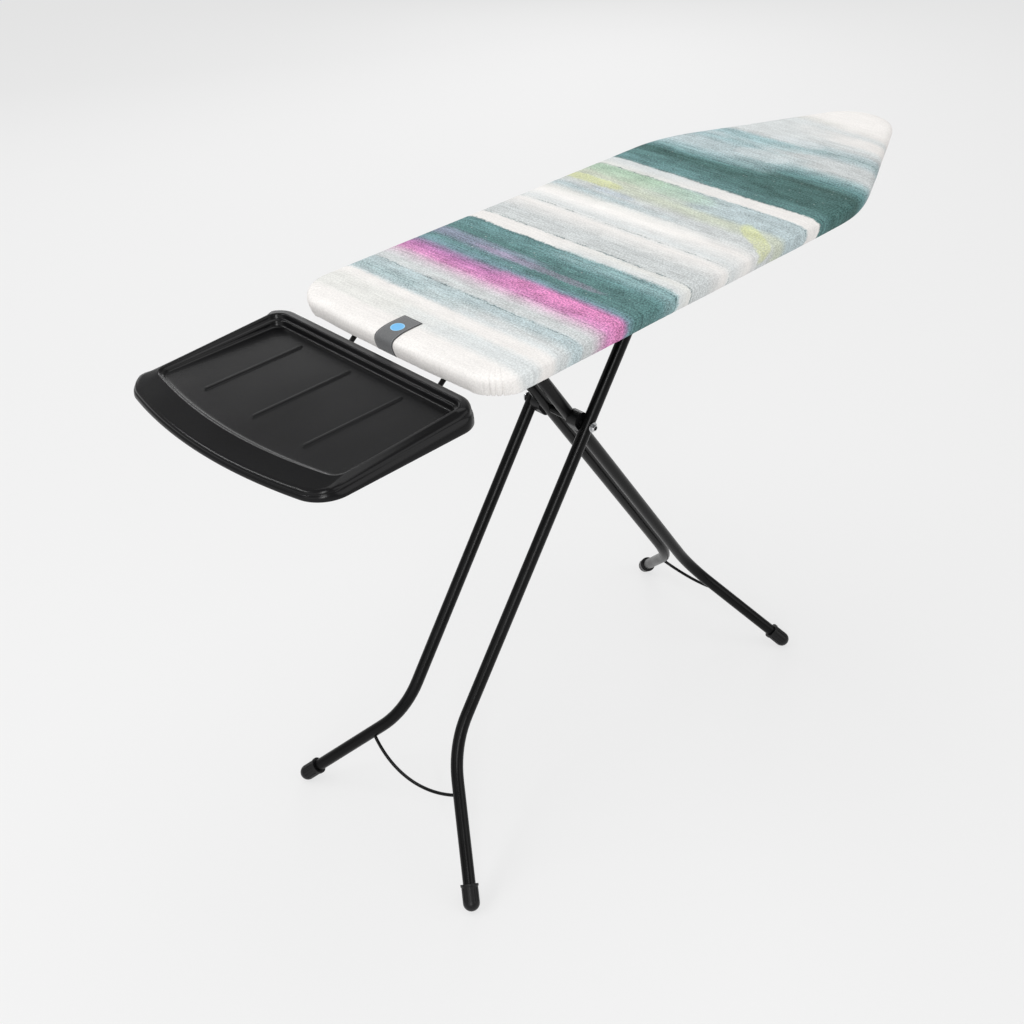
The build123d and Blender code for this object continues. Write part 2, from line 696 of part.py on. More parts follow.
def make_tray_rods():
    """Bent rods that plug into sockets under the board, and the tie that joins them."""
    for side, word in ((-1, "near"), (1, "far")):
        with BuildPart() as rod:
            with BuildLine(Plane.XZ.offset(-side * ROD_HALF)) as path:
                FilletPolyline((SOCKET_END - 8, SOCKET_Z), (ROD_BEND_END, SOCKET_Z),
                               (ROD_BEND_START, TRAY_ROD_Z), (ROD_REACH, TRAY_ROD_Z),
                               radius=ROD_BEND_R)
            with BuildSketch(Plane(origin=path.wire() @ 0, z_dir=path.wire() % 0)):
                Circle(ROD_R)
            sweep(path=path.wire())
        save(rod, f"tray_rod_{word}")

        with BuildPart() as socket:
            with BuildSketch(Plane.YZ.offset(SOCKET_START)):
                with Locations((side * ROD_HALF, CROSSBAR_BOTTOM)):
                    Rectangle(20, CROSSBAR_BOTTOM - SOCKET_Z + 8, align=(Align.CENTER, Align.MAX))
                with Locations((side * ROD_HALF, SOCKET_Z)):
                    Circle(ROD_R + RUNNING, mode=Mode.SUBTRACT)
            extrude(amount=SOCKET_END - SOCKET_START)
        save(socket, f"tray_socket_{word}")
    tie_reach = ROD_HALF - ROD_R
    y_rod("tray_rod_tie", TIE_X, TRAY_ROD_Z, ROD_R - 0.5, tie_reach)


CLIP_XS = (TRAY_BACK_X - 50, TRAY_BACK_X - 200)
CLIP_REACH = 14
CLIP_LENGTH = 14
CLIP_WALL = 3
SCREW_OFF = 10.5
SCREW_R = 1.5
SCREW_HEAD_R = 2.9


def make_clips():
    """Saddle clips that hold the rods against the tray's underside, and their screws."""
    roof = TRAY_FLOOR - TRAY_WALL
    spots = [(x, side * ROD_HALF) for x in CLIP_XS for side in (-1, 1)]
    with BuildPart() as clips:
        for x, y in spots:
            with BuildSketch(Plane.YZ.offset(x - CLIP_LENGTH / 2)):
                with Locations((y, roof)):
                    Rectangle(2 * CLIP_REACH, CLIP_WALL, align=(Align.CENTER, Align.MAX))
                    Rectangle(2 * (ROD_R + CLIP_WALL), roof - TRAY_ROD_Z + ROD_R + CLIP_WALL,
                              align=(Align.CENTER, Align.MAX))
                with Locations((y, TRAY_ROD_Z)):
                    Circle(ROD_R + RUNNING, mode=Mode.SUBTRACT)
            extrude(amount=CLIP_LENGTH)
        holes = [(x, y + side * SCREW_OFF) for x, y in spots for side in (-1, 1)]
        with BuildSketch(Plane.XY.offset(roof - CLIP_WALL - 1)):
            with Locations(*holes):
                Circle(SCREW_R + 0.1)
        extrude(amount=CLIP_WALL + 3, mode=Mode.SUBTRACT)
    save(clips, "tray_clips")

    with BuildPart() as screws:
        with BuildSketch(Plane.XY.offset(roof - CLIP_WALL)):
            with Locations(*holes):
                Circle(SCREW_R)
        extrude(amount=CLIP_WALL)
        with BuildSketch(Plane.XY.offset(roof - CLIP_WALL - 2)):
            with Locations(*holes):
                Circle(SCREW_HEAD_R)
        extrude(amount=2)
        with BuildSketch(Plane.XY.offset(roof - CLIP_WALL - 2)):
            with Locations(*holes):
                Rectangle(3.2, 0.7)
                Rectangle(0.7, 3.2)
        extrude(amount=1, mode=Mode.SUBTRACT)
    save(screws, "tray_screws")


def main():
    make_cover()
    make_label()
    make_pad()
    make_deck_panel()
    make_rim()
    make_crossbars()
    make_rail(-1, "slide_rail_near")
    make_rail(1, "slide_rail_far")
    make_hinge_bracket()
    make_lever_bracket()
    make_lever_pin()
    make_lever_arm()
    make_lever_grip()
    make_lock_strip()
    make_tray()
    make_tray_rods()
    make_clips()

    inner_holes = [(HINGE_X, HINGE_Z, HINGE_AXLE_R + 0.02), (PIVOT_X, PIVOT_Z, PIVOT_AXLE_R + 0.02)]
    outer_holes = [(BAR_X, HINGE_Z, BAR_R + 0.02), (PIVOT_X, PIVOT_Z, PIVOT_AXLE_R + 2.5)]
    for side, word in ((-1, "near"), (1, "far")):
        make_leg_tube(-1, INNER_HALF, side, f"inner_tube_{word}", inner_holes)
        make_leg_tube(1, OUTER_HALF, side, f"outer_tube_{word}", outer_holes)
        make_foot(-1, INNER_HALF, side, f"inner_foot_{word}")
        make_foot(1, OUTER_HALF, side, f"outer_foot_{word}")
    make_plugs(-1, INNER_HALF, "inner_top_plugs")
    make_plugs(1, OUTER_HALF, "outer_top_plugs")
    make_brace(-1, INNER_HALF, "inner_brace")
    make_brace(1, OUTER_HALF, "outer_brace")

    clip_start = CHEEK_Y + CHEEK_THICK + 0.4
    y_rod("hinge_axle", HINGE_X, HINGE_Z, HINGE_AXLE_R, clip_start + 2.2)
    y_rings("hinge_clips", HINGE_X, HINGE_Z, 7, HINGE_AXLE_R + 0.01, clip_start, 1.2)
    y_rings("hinge_washers", HINGE_X, HINGE_Z, 9, HINGE_AXLE_R + RUNNING, INNER_HALF + TUBE_R + 0.2,
            CHEEK_Y - INNER_HALF - TUBE_R - 0.6)
    y_rod("top_bar", BAR_X, HINGE_Z, BAR_R, RAIL_WEB - 1.2)
    y_rings("bar_glides", BAR_X, HINGE_Z, GLIDE_R, BAR_R + 0.02, RAIL_WEB - 12, 11)
    y_rod("pivot_axle", PIVOT_X, PIVOT_Z, PIVOT_AXLE_R, PIVOT_HALF_LENGTH)
    bush_start = OUTER_HALF - TUBE_R - 0.1
    y_rings("pivot_bushes", PIVOT_X, PIVOT_Z, PIVOT_AXLE_R + 2.4, PIVOT_AXLE_R + RUNNING,
            bush_start, 2 * TUBE_R + 0.4)
    y_rings("pivot_washers", PIVOT_X, PIVOT_Z, 9, PIVOT_AXLE_R + RUNNING, OUTER_HALF + TUBE_R + 0.6,
            1.6)
    sleeve_half = INNER_HALF - TUBE_R - 0.1
    y_rings("pivot_sleeve", PIVOT_X, PIVOT_Z, 8, PIVOT_AXLE_R + RUNNING, 0, sleeve_half)
    make_pivot_nuts()
    make_pivot_spacers()


main()
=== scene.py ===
"""Looks for the ironing board with a steam-unit tray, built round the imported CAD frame.

Metres throughout, in the frame's own axes: +X along the board to its nose, +Z up. The printed
cover, its label, the pad and the moulded tray are modelled here. Every other piece is the CAD
node with a procedural material.
"""
import json
from math import asin, cos, hypot, pi, radians, sin, sqrt, tan

import bmesh
import bpy
from mathutils import Matrix, Vector, noise


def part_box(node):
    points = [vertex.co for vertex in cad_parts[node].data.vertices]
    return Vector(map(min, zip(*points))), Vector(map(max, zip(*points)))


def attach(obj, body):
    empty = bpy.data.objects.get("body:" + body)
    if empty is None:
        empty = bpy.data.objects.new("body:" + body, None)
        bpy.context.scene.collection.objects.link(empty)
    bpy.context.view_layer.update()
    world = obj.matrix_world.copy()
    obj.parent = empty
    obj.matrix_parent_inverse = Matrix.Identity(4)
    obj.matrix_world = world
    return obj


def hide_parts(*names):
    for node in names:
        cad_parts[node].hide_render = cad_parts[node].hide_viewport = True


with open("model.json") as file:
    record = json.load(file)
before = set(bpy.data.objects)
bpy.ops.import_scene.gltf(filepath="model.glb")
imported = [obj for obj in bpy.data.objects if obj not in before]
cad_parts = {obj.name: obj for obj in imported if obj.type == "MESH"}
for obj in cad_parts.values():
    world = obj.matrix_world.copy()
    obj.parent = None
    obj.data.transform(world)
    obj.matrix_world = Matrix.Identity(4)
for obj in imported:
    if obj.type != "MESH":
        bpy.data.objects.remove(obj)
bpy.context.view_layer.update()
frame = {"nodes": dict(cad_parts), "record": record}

MM = 0.001

# ---- places taken from the frame ----
cover_low, cover_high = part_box("cover")
tray_low, tray_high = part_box("tray")
deck_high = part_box("deck_panel")[1]
label_low, label_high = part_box("cover_label")
TAIL_X = cover_low.x
NOSE_X = cover_high.x
HALF_WIDTH = cover_high.y
BOARD_TOP = cover_high.z
BOARD_DEPTH = cover_high.z - cover_low.z

# ---- the board's outline ----
TAIL_RADIUS = 70 * MM
TAPER_RADIUS = 300 * MM
NOSE_RADIUS = 78 * MM
TAPER = radians(26.1)
OUTLINE_STEP = 3.4 * MM

# ---- the cover ----
CLOTH = 0.7 * MM
HEM_WIDTH = 30 * MM
# (inwards from the outline, down from the top), from the flat of the top to the end of the hem
EDGE_PROFILE = [(44, 0), (34, 0.1), (26, 0.3), (19, 0.7), (12.5, 1.4), (7, 2.6), (2.6, 4.2),
                (-0.6, 6.2), (-2.8, 8.6), (-4, 11.4), (-4.3, 14.5), (-3.9, 18), (-2.9, 22),
                (-1.5, 26), (0.3, 30), (2.2, 33.2), (4.2, 35), (7, 35.8), (12, 35.8),
                (18, 35.2), (24, 34.7), (30, 34.3)]
# How far down from the top, in mm, the skirt turns under and the tail corners begin to sag.
HEM_DROP = 32
SAG_DROP = 28
TAIL_BOW = 3.5 * MM
TAIL_BOW_HALF = 160 * MM
TOP_RINGS = 26
MEDIAL_START = 0.9
PLEAT_LENGTH = 11 * MM
PLEAT_HEIGHT = 4.6 * MM
CREASE_DEPTH = 2.4 * MM
CREST = 2.2 * MM
CORNER_SAG = 2.2 * MM
WAVER = 0.8 * MM
PLEAT_WARP = 1.6
PLEAT_SHARPNESS = 3.2
# Share of the full gathers at the nose, on the tail edge and on the sides.
NOSE_GATHER = 0.7
TAIL_GATHER = 0.34
SIDE_GATHER = 0.1
SOFT_SWELL = 0.5 * MM

# ---- camera ----
CAMERA_AT = (-1.6016, -1.4586, 1.9282)
CAMERA_YAW = 0.75989
CAMERA_PITCH = 0.60305
CAMERA_ROLL = -0.03609
LENS = 50
SENSOR = 36


# =============================== mesh helpers ===============================

def smoothstep(low, high, value):
    """0 below low, 1 above high, and a smooth rise between."""
    t = min(max((value - low) / (high - low), 0.0), 1.0)
    return t * t * (3 - 2 * t)


def arc(centre, radius, start, end, step):
    """Points and outward normals on an arc, its end left out. Angles in radians."""
    count = max(2, round(abs(end - start) * radius / step))
    out = []
    for i in range(count):
        angle = start + (end - start) * i / count
        normal = (cos(angle), sin(angle))
        out.append((centre[0] + radius * normal[0], centre[1] + radius * normal[1], *normal))
    return out


def straight(a, b, normal, step):
    """Points from a to b with one normal, b left out."""
    count = max(2, round(hypot(b[0] - a[0], b[1] - a[1]) / step))
    return [(a[0] + (b[0] - a[0]) * i / count, a[1] + (b[1] - a[1]) * i / count, *normal)
            for i in range(count)]


def mirrored(half):
    """A closed outline from its +Y half: the half as given, then the same half reflected, in order."""
    other = [(x, -y, nx, -ny) for x, y, nx, ny in reversed(half)]
    return half + [p for p in other if abs(p[1]) > 1e-6]


def board_outline(step):
    """The board's outline as (x, y, normal x, normal y), nose to tail along the far side and back."""
    nose_x = NOSE_X - NOSE_RADIUS
    apex_x = nose_x + NOSE_RADIUS / sin(TAPER)
    shoulder_x = apex_x - HALF_WIDTH / tan(TAPER) - TAPER_RADIUS * tan(TAPER / 2)
    shoulder_y = HALF_WIDTH - TAPER_RADIUS
    tail_x = TAIL_X + TAIL_RADIUS
    tail_y = HALF_WIDTH - TAIL_RADIUS
    lean = pi / 2 - TAPER
    taper_normal = (cos(lean), sin(lean))
    nose_end = (nose_x + NOSE_RADIUS * cos(lean), NOSE_RADIUS * sin(lean))
    shoulder_end = (shoulder_x + TAPER_RADIUS * cos(lean), shoulder_y + TAPER_RADIUS * sin(lean))
    half = arc((nose_x, 0), NOSE_RADIUS, 0, lean, step)
    half += straight(nose_end, shoulder_end, taper_normal, step)
    half += arc((shoulder_x, shoulder_y), TAPER_RADIUS, lean, pi / 2, step)
    half += straight((shoulder_x, HALF_WIDTH), (tail_x, HALF_WIDTH), (0, 1), step)
    half += arc((tail_x, tail_y), TAIL_RADIUS, pi / 2, pi, step / 3)
    half += straight((TAIL_X, tail_y), (TAIL_X, 0), (-1, 0), step / 2)
    half.append((TAIL_X, 0, -1, 0))
    return mirrored(half)


def outline_area(outline):
    """Area inside a closed outline."""
    pairs = zip(outline, outline[1:] + outline[:1])
    return abs(sum(a[0] * b[1] - b[0] * a[1] for a, b in pairs)) / 2


def outline_length(outline):
    """Length round a closed outline."""
    pairs = zip(outline, outline[1:] + outline[:1])
    return sum(hypot(b[0] - a[0], b[1] - a[1]) for a, b in pairs)


def running_length(points):
    """How far along a line of points each of them lies."""
    out = [0.0]
    for a, b in zip(points, points[1:]):
        out.append(out[-1] + hypot(b[0] - a[0], b[1] - a[1]))
    return out


def new_object(name, mesh):
    """An object in the scene for a finished mesh, smooth shaded."""
    obj = bpy.data.objects.new(name, mesh)
    bpy.context.scene.collection.objects.link(obj)
    for polygon in mesh.polygons:
        polygon.use_smooth = True
    return obj


def ring_mesh(name, rings, cuts=None, close_first=False, close_last=False):
    """A mesh from rings of equally many points, joined in order. cuts holds flat cloth places."""
    bm = bmesh.new()
    layer = bm.verts.layers.float_vector.new("cut") if cuts else None
    rows = []
    for i, ring in enumerate(rings):
        row = []
        for j, point in enumerate(ring):
            vert = bm.verts.new(point)
            if cuts:
                vert[layer] = cuts[i][j]
            row.append(vert)
        rows.append(row)
    for a, b in zip(rows, rows[1:]):
        for j in range(len(a)):
            k = (j + 1) % len(a)
            bm.faces.new((a[j], a[k], b[k], b[j]))
    if close_first:
        bm.faces.new(rows[0][::-1])
    if close_last:
        bm.faces.new(rows[-1])
    bmesh.ops.remove_doubles(bm, verts=bm.verts, dist=0.02 * MM)
    bmesh.ops.dissolve_degenerate(bm, edges=bm.edges, dist=0.02 * MM)
    bmesh.ops.recalc_face_normals(bm, faces=bm.faces)
    mesh = bpy.data.meshes.new(name)
    bm.to_mesh(mesh)
    bm.free()
    return mesh


def add_modifier(obj, kind, **settings):
    """A modifier with these settings."""
    modifier = obj.modifiers.new(kind.title(), kind)
    for key, value in settings.items():
        setattr(modifier, key, value)
    return modifier


# =============================== shader helpers ===============================

class Shade:
    """One material with a Principled shader, and short calls for the nodes that feed it."""

    def __init__(self, name, **sockets):
        self.material = bpy.data.materials.new(name)
        self.material.use_nodes = True
        self.tree = self.material.node_tree
        self.shader = self.tree.nodes["Principled BSDF"]
        for key, value in sockets.items():
            self.shader.inputs[key.replace("_", " ")].default_value = value

    def put(self, value, socket):
        """Links a socket's value, or sets a plain one."""
        if isinstance(value, bpy.types.NodeSocket):
            self.tree.links.new(value, socket)
        else:
            socket.default_value = value

    def node(self, kind, inputs=(), **settings):
        """A node with its settings, and its inputs by name or place."""
        made = self.tree.nodes.new(kind)
        for key, value in settings.items():
            setattr(made, key, value)
        pairs = inputs.items() if isinstance(inputs, dict) else enumerate(inputs)
        for key, value in pairs:
            self.put(value, made.inputs[key])
        return made

    def math(self, operation, *values):
        """One Math node."""
        return self.node("ShaderNodeMath", values, operation=operation).outputs[0]

    def power(self, value, exponent):
        """The value without its sign, raised to a power."""
        return self.math("POWER", self.math("ABSOLUTE", value), exponent)

    def gap(self, a, b):
        """How far apart two values are."""
        return self.math("ABSOLUTE", self.math("SUBTRACT", a, b))

    def band(self, value, low, high, to_low=0.0, to_high=1.0):
        """A smooth rise from to_low at low to to_high at high."""
        made = self.node("ShaderNodeMapRange", [value, low, high, to_low, to_high],
                         interpolation_type="SMOOTHSTEP")
        return made.outputs[0]

    def inside(self, value, limit, blur):
        """0 beyond the limit, rising to 1 over the blur within it."""
        return self.band(value, limit - blur, limit, 1.0, 0.0)

    def noise(self, vector, scale, detail=2.0, roughness=0.5):
        """Noise from 0 to 1, with a scale for each axis."""
        scaled = self.node("ShaderNodeVectorMath", [vector, scale], operation="MULTIPLY").outputs[0]
        made = self.node("ShaderNodeTexNoise",
                         {"Vector": scaled, "Scale": 1.0, "Detail": detail, "Roughness": roughness})
        return made.outputs["Fac"]

    def mix(self, factor, a, b, blend="MIX"):
        """Mixed colour."""
        made = self.node("ShaderNodeMix", data_type="RGBA", blend_type=blend)
        self.put(factor, made.inputs[0])
        self.put(a, made.inputs[6])
        self.put(b, made.inputs[7])
        return made.outputs[2]

    def ramp(self, value, stops, smooth=False):
        """A colour ramp from (place, colour) stops."""
        made = self.node("ShaderNodeValToRGB", [value])
        ramp = made.color_ramp
        ramp.interpolation = "EASE" if smooth else "LINEAR"
        while len(ramp.elements) > 1:
            ramp.elements.remove(ramp.elements[-1])
        ramp.elements[0].position = stops[0][0]
        ramp.elements[0].color = stops[0][1]
        for place, colour in stops[1:]:
            ramp.elements.new(place).color = colour
        return made.outputs[0]

    def split(self, vector):
        """The vector's x, y and z."""
        return self.node("ShaderNodeSeparateXYZ", [vector]).outputs

    def cut(self):
        """Places on the flat cloth, in metres."""
        made = self.node("ShaderNodeAttribute", attribute_name="cut", attribute_type="GEOMETRY")
        return made.outputs["Vector"]

    def place(self):
        """Places on the piece, in metres."""
        return self.node("ShaderNodeTexCoord").outputs["Object"]

    def bump(self, height, distance, strength=1.0, before=None):
        """Bump from a height of 0 to 1, in metres at full height."""
        made = self.node("ShaderNodeBump", {"Height": height, "Distance": distance,
                                            "Strength": strength})
        if before is not None:
            self.put(before, made.inputs["Normal"])
        return made.outputs[0]

    def feed(self, **values):
        """Feeds the shader's own sockets."""
        for key, value in values.items():
            self.put(value, self.shader.inputs[key.replace("_", " ")])


def linear(red, green, blue, gain=1.0):
    """A display colour of 0 to 255 as a linear one, brightened or darkened by the gain."""
    out = []
    for channel in (red, green, blue):
        c = channel / 255
        out.append(min(gain * (c / 12.92 if c <= 0.04045 else ((c + 0.055) / 1.055) ** 2.4), 1.0))
    return (*out, 1.0)


# =============================== the cover ===============================

def cloth_travel():
    """How far along the cloth each point of the edge profile lies from the outline's edge, outwards."""
    travel = [-EDGE_PROFILE[0][0] * MM]
    for a, b in zip(EDGE_PROFILE, EDGE_PROFILE[1:]):
        travel.append(travel[-1] + hypot(b[0] - a[0], b[1] - a[1]) * MM)
    return travel


def corner_share(nx, ny):
    """How much cloth is gathered here: full at the tail corners and the nose, little on the sides."""
    tail = smoothstep(0.05, 0.35, abs(nx)) * smoothstep(0.04, 0.3, abs(ny)) if nx < 0 else 0
    nose = smoothstep(0.5, 0.95, nx)
    return max(tail, NOSE_GATHER * nose, TAIL_GATHER if nx < -0.9 else SIDE_GATHER)


def pleat(along):
    """How far the cloth puffs out between two gathers, 0 in a valley to about 1, along the hem."""
    warped = along / PLEAT_LENGTH + PLEAT_WARP * noise.noise(Vector((along * 23, 4.1, 0)))
    grouped = smoothstep(-0.15, 0.25, noise.noise(Vector((along * 27, 9.7, 0))))
    return 1 - (0.15 + 0.85 * grouped) * (1 - abs(sin(pi * warped))) ** PLEAT_SHARPNESS


def swell(x, y):
    """Soft unevenness of the padded top, in metres."""
    broad = noise.noise(Vector((x * 6, y * 7, 1.7)))
    fine = noise.noise(Vector((x * 19, y * 15, 5.2)))
    return SOFT_SWELL * (0.7 * broad + 0.3 * fine)


def medial_point(x):
    """The place on the middle line where a point of the top ends up when the rings close on it."""
    return Vector((min(max(x, TAIL_X + HALF_WIDTH * MEDIAL_START), NOSE_X - NOSE_RADIUS), 0))


def tail_bow(y, nx):
    """How far the middle of the tail edge stands out, in metres."""
    if nx > -0.99:
        return 0.0
    return TAIL_BOW * max(0.0, 1 - (y / TAIL_BOW_HALF) ** 2)


def top_ring(outline, share):
    """A ring of the cover's top, this share of the way in to the middle line, and its flat places."""
    first = EDGE_PROFILE[0][0] * MM
    ring, cut = [], []
    for x, y, nx, ny in outline:
        start = Vector((x - nx * first, y - ny * first))
        point = start.lerp(medial_point(start.x), share)
        ring.append((point.x, point.y, BOARD_TOP - SOFT_SWELL + swell(point.x, point.y)))
        cut.append((point.x, point.y, 0))
    return ring, cut


def edge_ring(outline, along, inset, drop, reach):
    """A ring of the rolled edge, skirt or hem, and its flat places.

    inset and drop are in mm, as in EDGE_PROFILE. reach is how far out on the flat cloth the ring lies.
    """
    skirt = smoothstep(2.5, 20, drop)
    shoulder = (1 - smoothstep(9, 30, inset)) * (1 - smoothstep(5, 12, drop))
    crest = smoothstep(0.3, 3.5, drop) * (1 - smoothstep(6, 13, drop))
    calm = 1 - smoothstep(0, 8, drop)
    bowed = smoothstep(0.2, 8, drop)
    hem = smoothstep(6, 26, inset) if drop > HEM_DROP else 0
    ring, cut = [], []
    for (x, y, nx, ny), s in zip(outline, along):
        share = corner_share(nx, ny)
        puff = pleat(s)
        out = share * (PLEAT_HEIGHT * (puff - 1) + CORNER_SAG) * skirt * (1 - hem)
        out += CREST * (1 - abs(nx)) * crest
        out += WAVER * noise.noise(Vector((s * 14, 2.2, 0))) * skirt * (1 - hem)
        out += tail_bow(y, nx) * bowed * (1 - hem)
        px = x + nx * (out - inset * MM)
        py = y + ny * (out - inset * MM)
        pz = BOARD_TOP - SOFT_SWELL * calm - drop * MM + swell(px, py) * calm
        pz -= CREASE_DEPTH * share * (1 - puff) ** 1.5 * shoulder
        if drop > SAG_DROP:
            pz -= CORNER_SAG * share * puff * (1 - hem)
        ring.append((px, py, pz))
        cut.append((x + nx * reach, y + ny * reach, 0))
    return ring, cut


def make_cover():
    """The printed cover: flat top, rolled edge, gathered skirt and a hem turned under the rim."""
    outline = board_outline(OUTLINE_STEP)
    along = running_length(outline)
    rows = [top_ring(outline, 1 - i / TOP_RINGS) for i in range(TOP_RINGS)]
    rows += [edge_ring(outline, along, inset, drop, reach)
             for (inset, drop), reach in zip(EDGE_PROFILE, cloth_travel())]
    rings, cuts = zip(*rows)
    cover = new_object("printed_cover", ring_mesh("printed_cover", rings, cuts))
    add_modifier(cover, "SOLIDIFY", thickness=CLOTH, offset=-1)
    cover.data.materials.append(print_material())
    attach(cover, "board")
    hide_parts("cover")
    skirt_and_hem = BOARD_DEPTH + HEM_WIDTH
    area = outline_area(outline) + outline_length(outline) * skirt_and_hem


# Pigments of the print, as display colours.
PIGMENTS = {
    "white": (247, 244, 241), "chalk": (237, 234, 231), "pearl": (236, 233, 230),
    "mist": (225, 225, 221), "cloud": (217, 221, 221), "haze": (204, 208, 208),
    "sky": (186, 200, 203), "aqua": (168, 187, 189), "sea": (142, 173, 175),
    "teal": (107, 144, 145), "pine": (94, 130, 129), "deep": (76, 109, 106),
    "ink": (70, 98, 94), "slate": (120, 148, 158), "steel": (138, 147, 164),
    "plum": (154, 133, 165), "lilac": (210, 200, 207), "rose": (212, 180, 201),
    "magenta": (208, 142, 187), "mauve": (188, 127, 177), "pink": (218, 139, 188),
    "sage": (202, 208, 192), "leaf": (176, 197, 178), "frost": (166, 191, 195),
}

# The print's stripes, as (mm from the tail, pigment), on the far side and on the near side.
FAR_STRIPES = [
    (34, "chalk"), (44, "mist"), (78, "mist"), (98, "pearl"), (109, "pearl"), (114, "sky"),
    (128, "aqua"), (160, "sky"), (166, "haze"), (180, "haze"), (196, "lilac"), (208, "rose"),
    (219, "magenta"), (238, "mauve"), (252, "plum"), (262, "slate"), (282, "teal"), (296, "steel"),
    (312, "steel"), (324, "pine"), (350, "teal"), (373, "teal"), (377, "pearl"), (405, "pearl"),
    (412, "haze"), (446, "haze"), (488, "pearl"), (508, "cloud"), (540, "white"), (562, "mist"),
    (580, "sky"),
]
FAR_STRIPES_BEYOND = [
    (584, "sky"), (600, "haze"), (628, "sage"), (656, "sage"), (684, "leaf"), (699, "leaf"),
    (703, "mist"), (726, "cloud"), (738, "cloud"), (742, "teal"), (762, "teal"), (776, "pine"),
    (794, "pine"), (806, "deep"), (824, "deep"), (836, "teal"), (850, "sea"), (864, "frost"),
    (884, "sky"), (914, "sky"), (940, "frost"), (956, "sky"), (970, "frost"), (988, "frost"),
    (1002, "haze"), (1018, "cloud"), (1118, "cloud"), (1136, "mist"), (1156, "white"),
]
NEAR_STRIPES = [
    (34, "chalk"), (50, "cloud"), (74, "cloud"), (86, "pearl"), (104, "pearl"), (116, "cloud"),
    (132, "haze"), (148, "sky"), (162, "sky"), (168, "haze"), (184, "haze"), (196, "lilac"),
    (207, "rose"), (219, "magenta"), (236, "pink"), (252, "pink"), (260, "plum"), (266, "slate"),
    (278, "pine"), (325, "pine"), (340, "teal"), (356, "sea"), (376, "sea"), (381, "cloud"),
    (402, "mist"), (412, "haze"), (446, "haze"), (488, "pearl"), (508, "cloud"), (548, "pearl"),
    (578, "haze"),
]
NEAR_STRIPES_BEYOND = [
    (584, "haze"), (600, "haze"), (620, "sage"), (634, "sage"), (648, "sky"), (702, "sky"),
    (706, "pearl"), (738, "pearl"), (741, "pine"), (762, "pine"), (774, "deep"), (836, "deep"),
    (852, "ink"), (868, "pine"), (882, "teal"), (898, "sea"), (912, "aqua"), (928, "haze"),
    (972, "haze"), (988, "sky"), (1002, "aqua"), (1020, "sky"), (1036, "haze"), (1050, "cloud"),
    (1066, "pearl"), (1092, "pearl"), (1106, "cloud"), (1124, "pearl"), (1150, "white"),
]
PRINT_LENGTH = 1240
PRINT_GAIN = 0.88
SIDES_MEET = 110 * MM

# Soft patches over the stripes: colour, strength, centre and half size in mm, lean.
PATCHES = [
    ((206, 209, 132), 0.55, (628, 175), (15, 75), 0.0),
    ((206, 210, 138), 0.6, (612, -198), (20, 52), 0.62),
    ((172, 200, 176), 0.45, (678, 80), (26, 150), 0.0),
    ((150, 172, 196), 0.35, (604, 104), (9, 52), 0.0),
    ((146, 184, 187), 0.3, (976, 34), (26, 110), -0.2),
    ((206, 212, 213), 0.6, (915, 20), (24, 60), 0.0),
    ((216, 220, 222), 0.55, (1012, 10), (18, 60), 0.0),
    ((206, 150, 192), 0.22, (300, -10), (9, 150), 0.0),
    ((244, 242, 238), 0.4, (552, -20), (24, 130), 0.0),
    ((80, 114, 111), 0.75, (834, -10), (14, 110), -0.12),
]

# Thin lines where two washes meet, as (mm from the tail, half width in mm).
PRINT_LINES = [(163, 2.2), (373, 2.2), (409, 2.6), (500, 1.4), (701, 2.2), (741, 2.6)]
LINE_COLOUR = (84, 108, 110)
LINE_STRENGTH = 0.75

# Unevenness of the pigment: noise scale, detail, roughness, range used, gain at the range's ends.
GRAINS = {
    "blotches": ((46, 22, 1), 5.0, 0.68, (0.3, 0.7), (-0.2, 0.18)),
    "streaks": ((240, 9, 1), 4.0, 0.66, (0.32, 0.68), (-0.2, 0.17)),
    "grain": ((300, 360, 1), 1.0, 0.6, (0.3, 0.7), (-0.34, 0.3)),
    "speckle": ((700, 620, 1), 1.0, 0.6, (0.3, 0.7), (-0.14, 0.14)),
}
FLECK_COLOUR = (236, 236, 234)
FLECK_STRENGTH = 0.35
COTTON_PITCH = 1.3 * MM


def stripe_colours(shade, distance, stripes):
    """The stripes as a ramp over the distance from the tail, in metres."""
    share = shade.math("DIVIDE", distance, PRINT_LENGTH * MM)
    return shade.ramp(share, [(at / PRINT_LENGTH, linear(*PIGMENTS[name], PRINT_GAIN))
                              for at, name in stripes])


def side_colours(shade, distance, stripes, beyond):
    """Two ramps end to end, for more stripes than one ramp holds."""
    change = beyond[0][0] * MM
    past = shade.band(distance, change - 2 * MM, change + 2 * MM)
    first = stripe_colours(shade, distance, stripes)
    second = stripe_colours(shade, distance, beyond)
    return shade.mix(past, first, second)


def patch_mask(shade, distance, across, centre, half_size, lean):
    """1 in the middle of a soft patch, 0 outside it. centre and half_size are (mm along, mm across)."""
    along = shade.math("SUBTRACT", distance, centre[0] * MM)
    off_y = shade.math("SUBTRACT", across, centre[1] * MM)
    along = shade.math("SUBTRACT", along, shade.math("MULTIPLY", off_y, lean))
    u = shade.math("DIVIDE", along, half_size[0] * MM)
    v = shade.math("DIVIDE", off_y, half_size[1] * MM)
    return shade.inside(shade.math("ADD", shade.power(u, 2.0), shade.power(v, 4.0)), 1.15, 0.8)


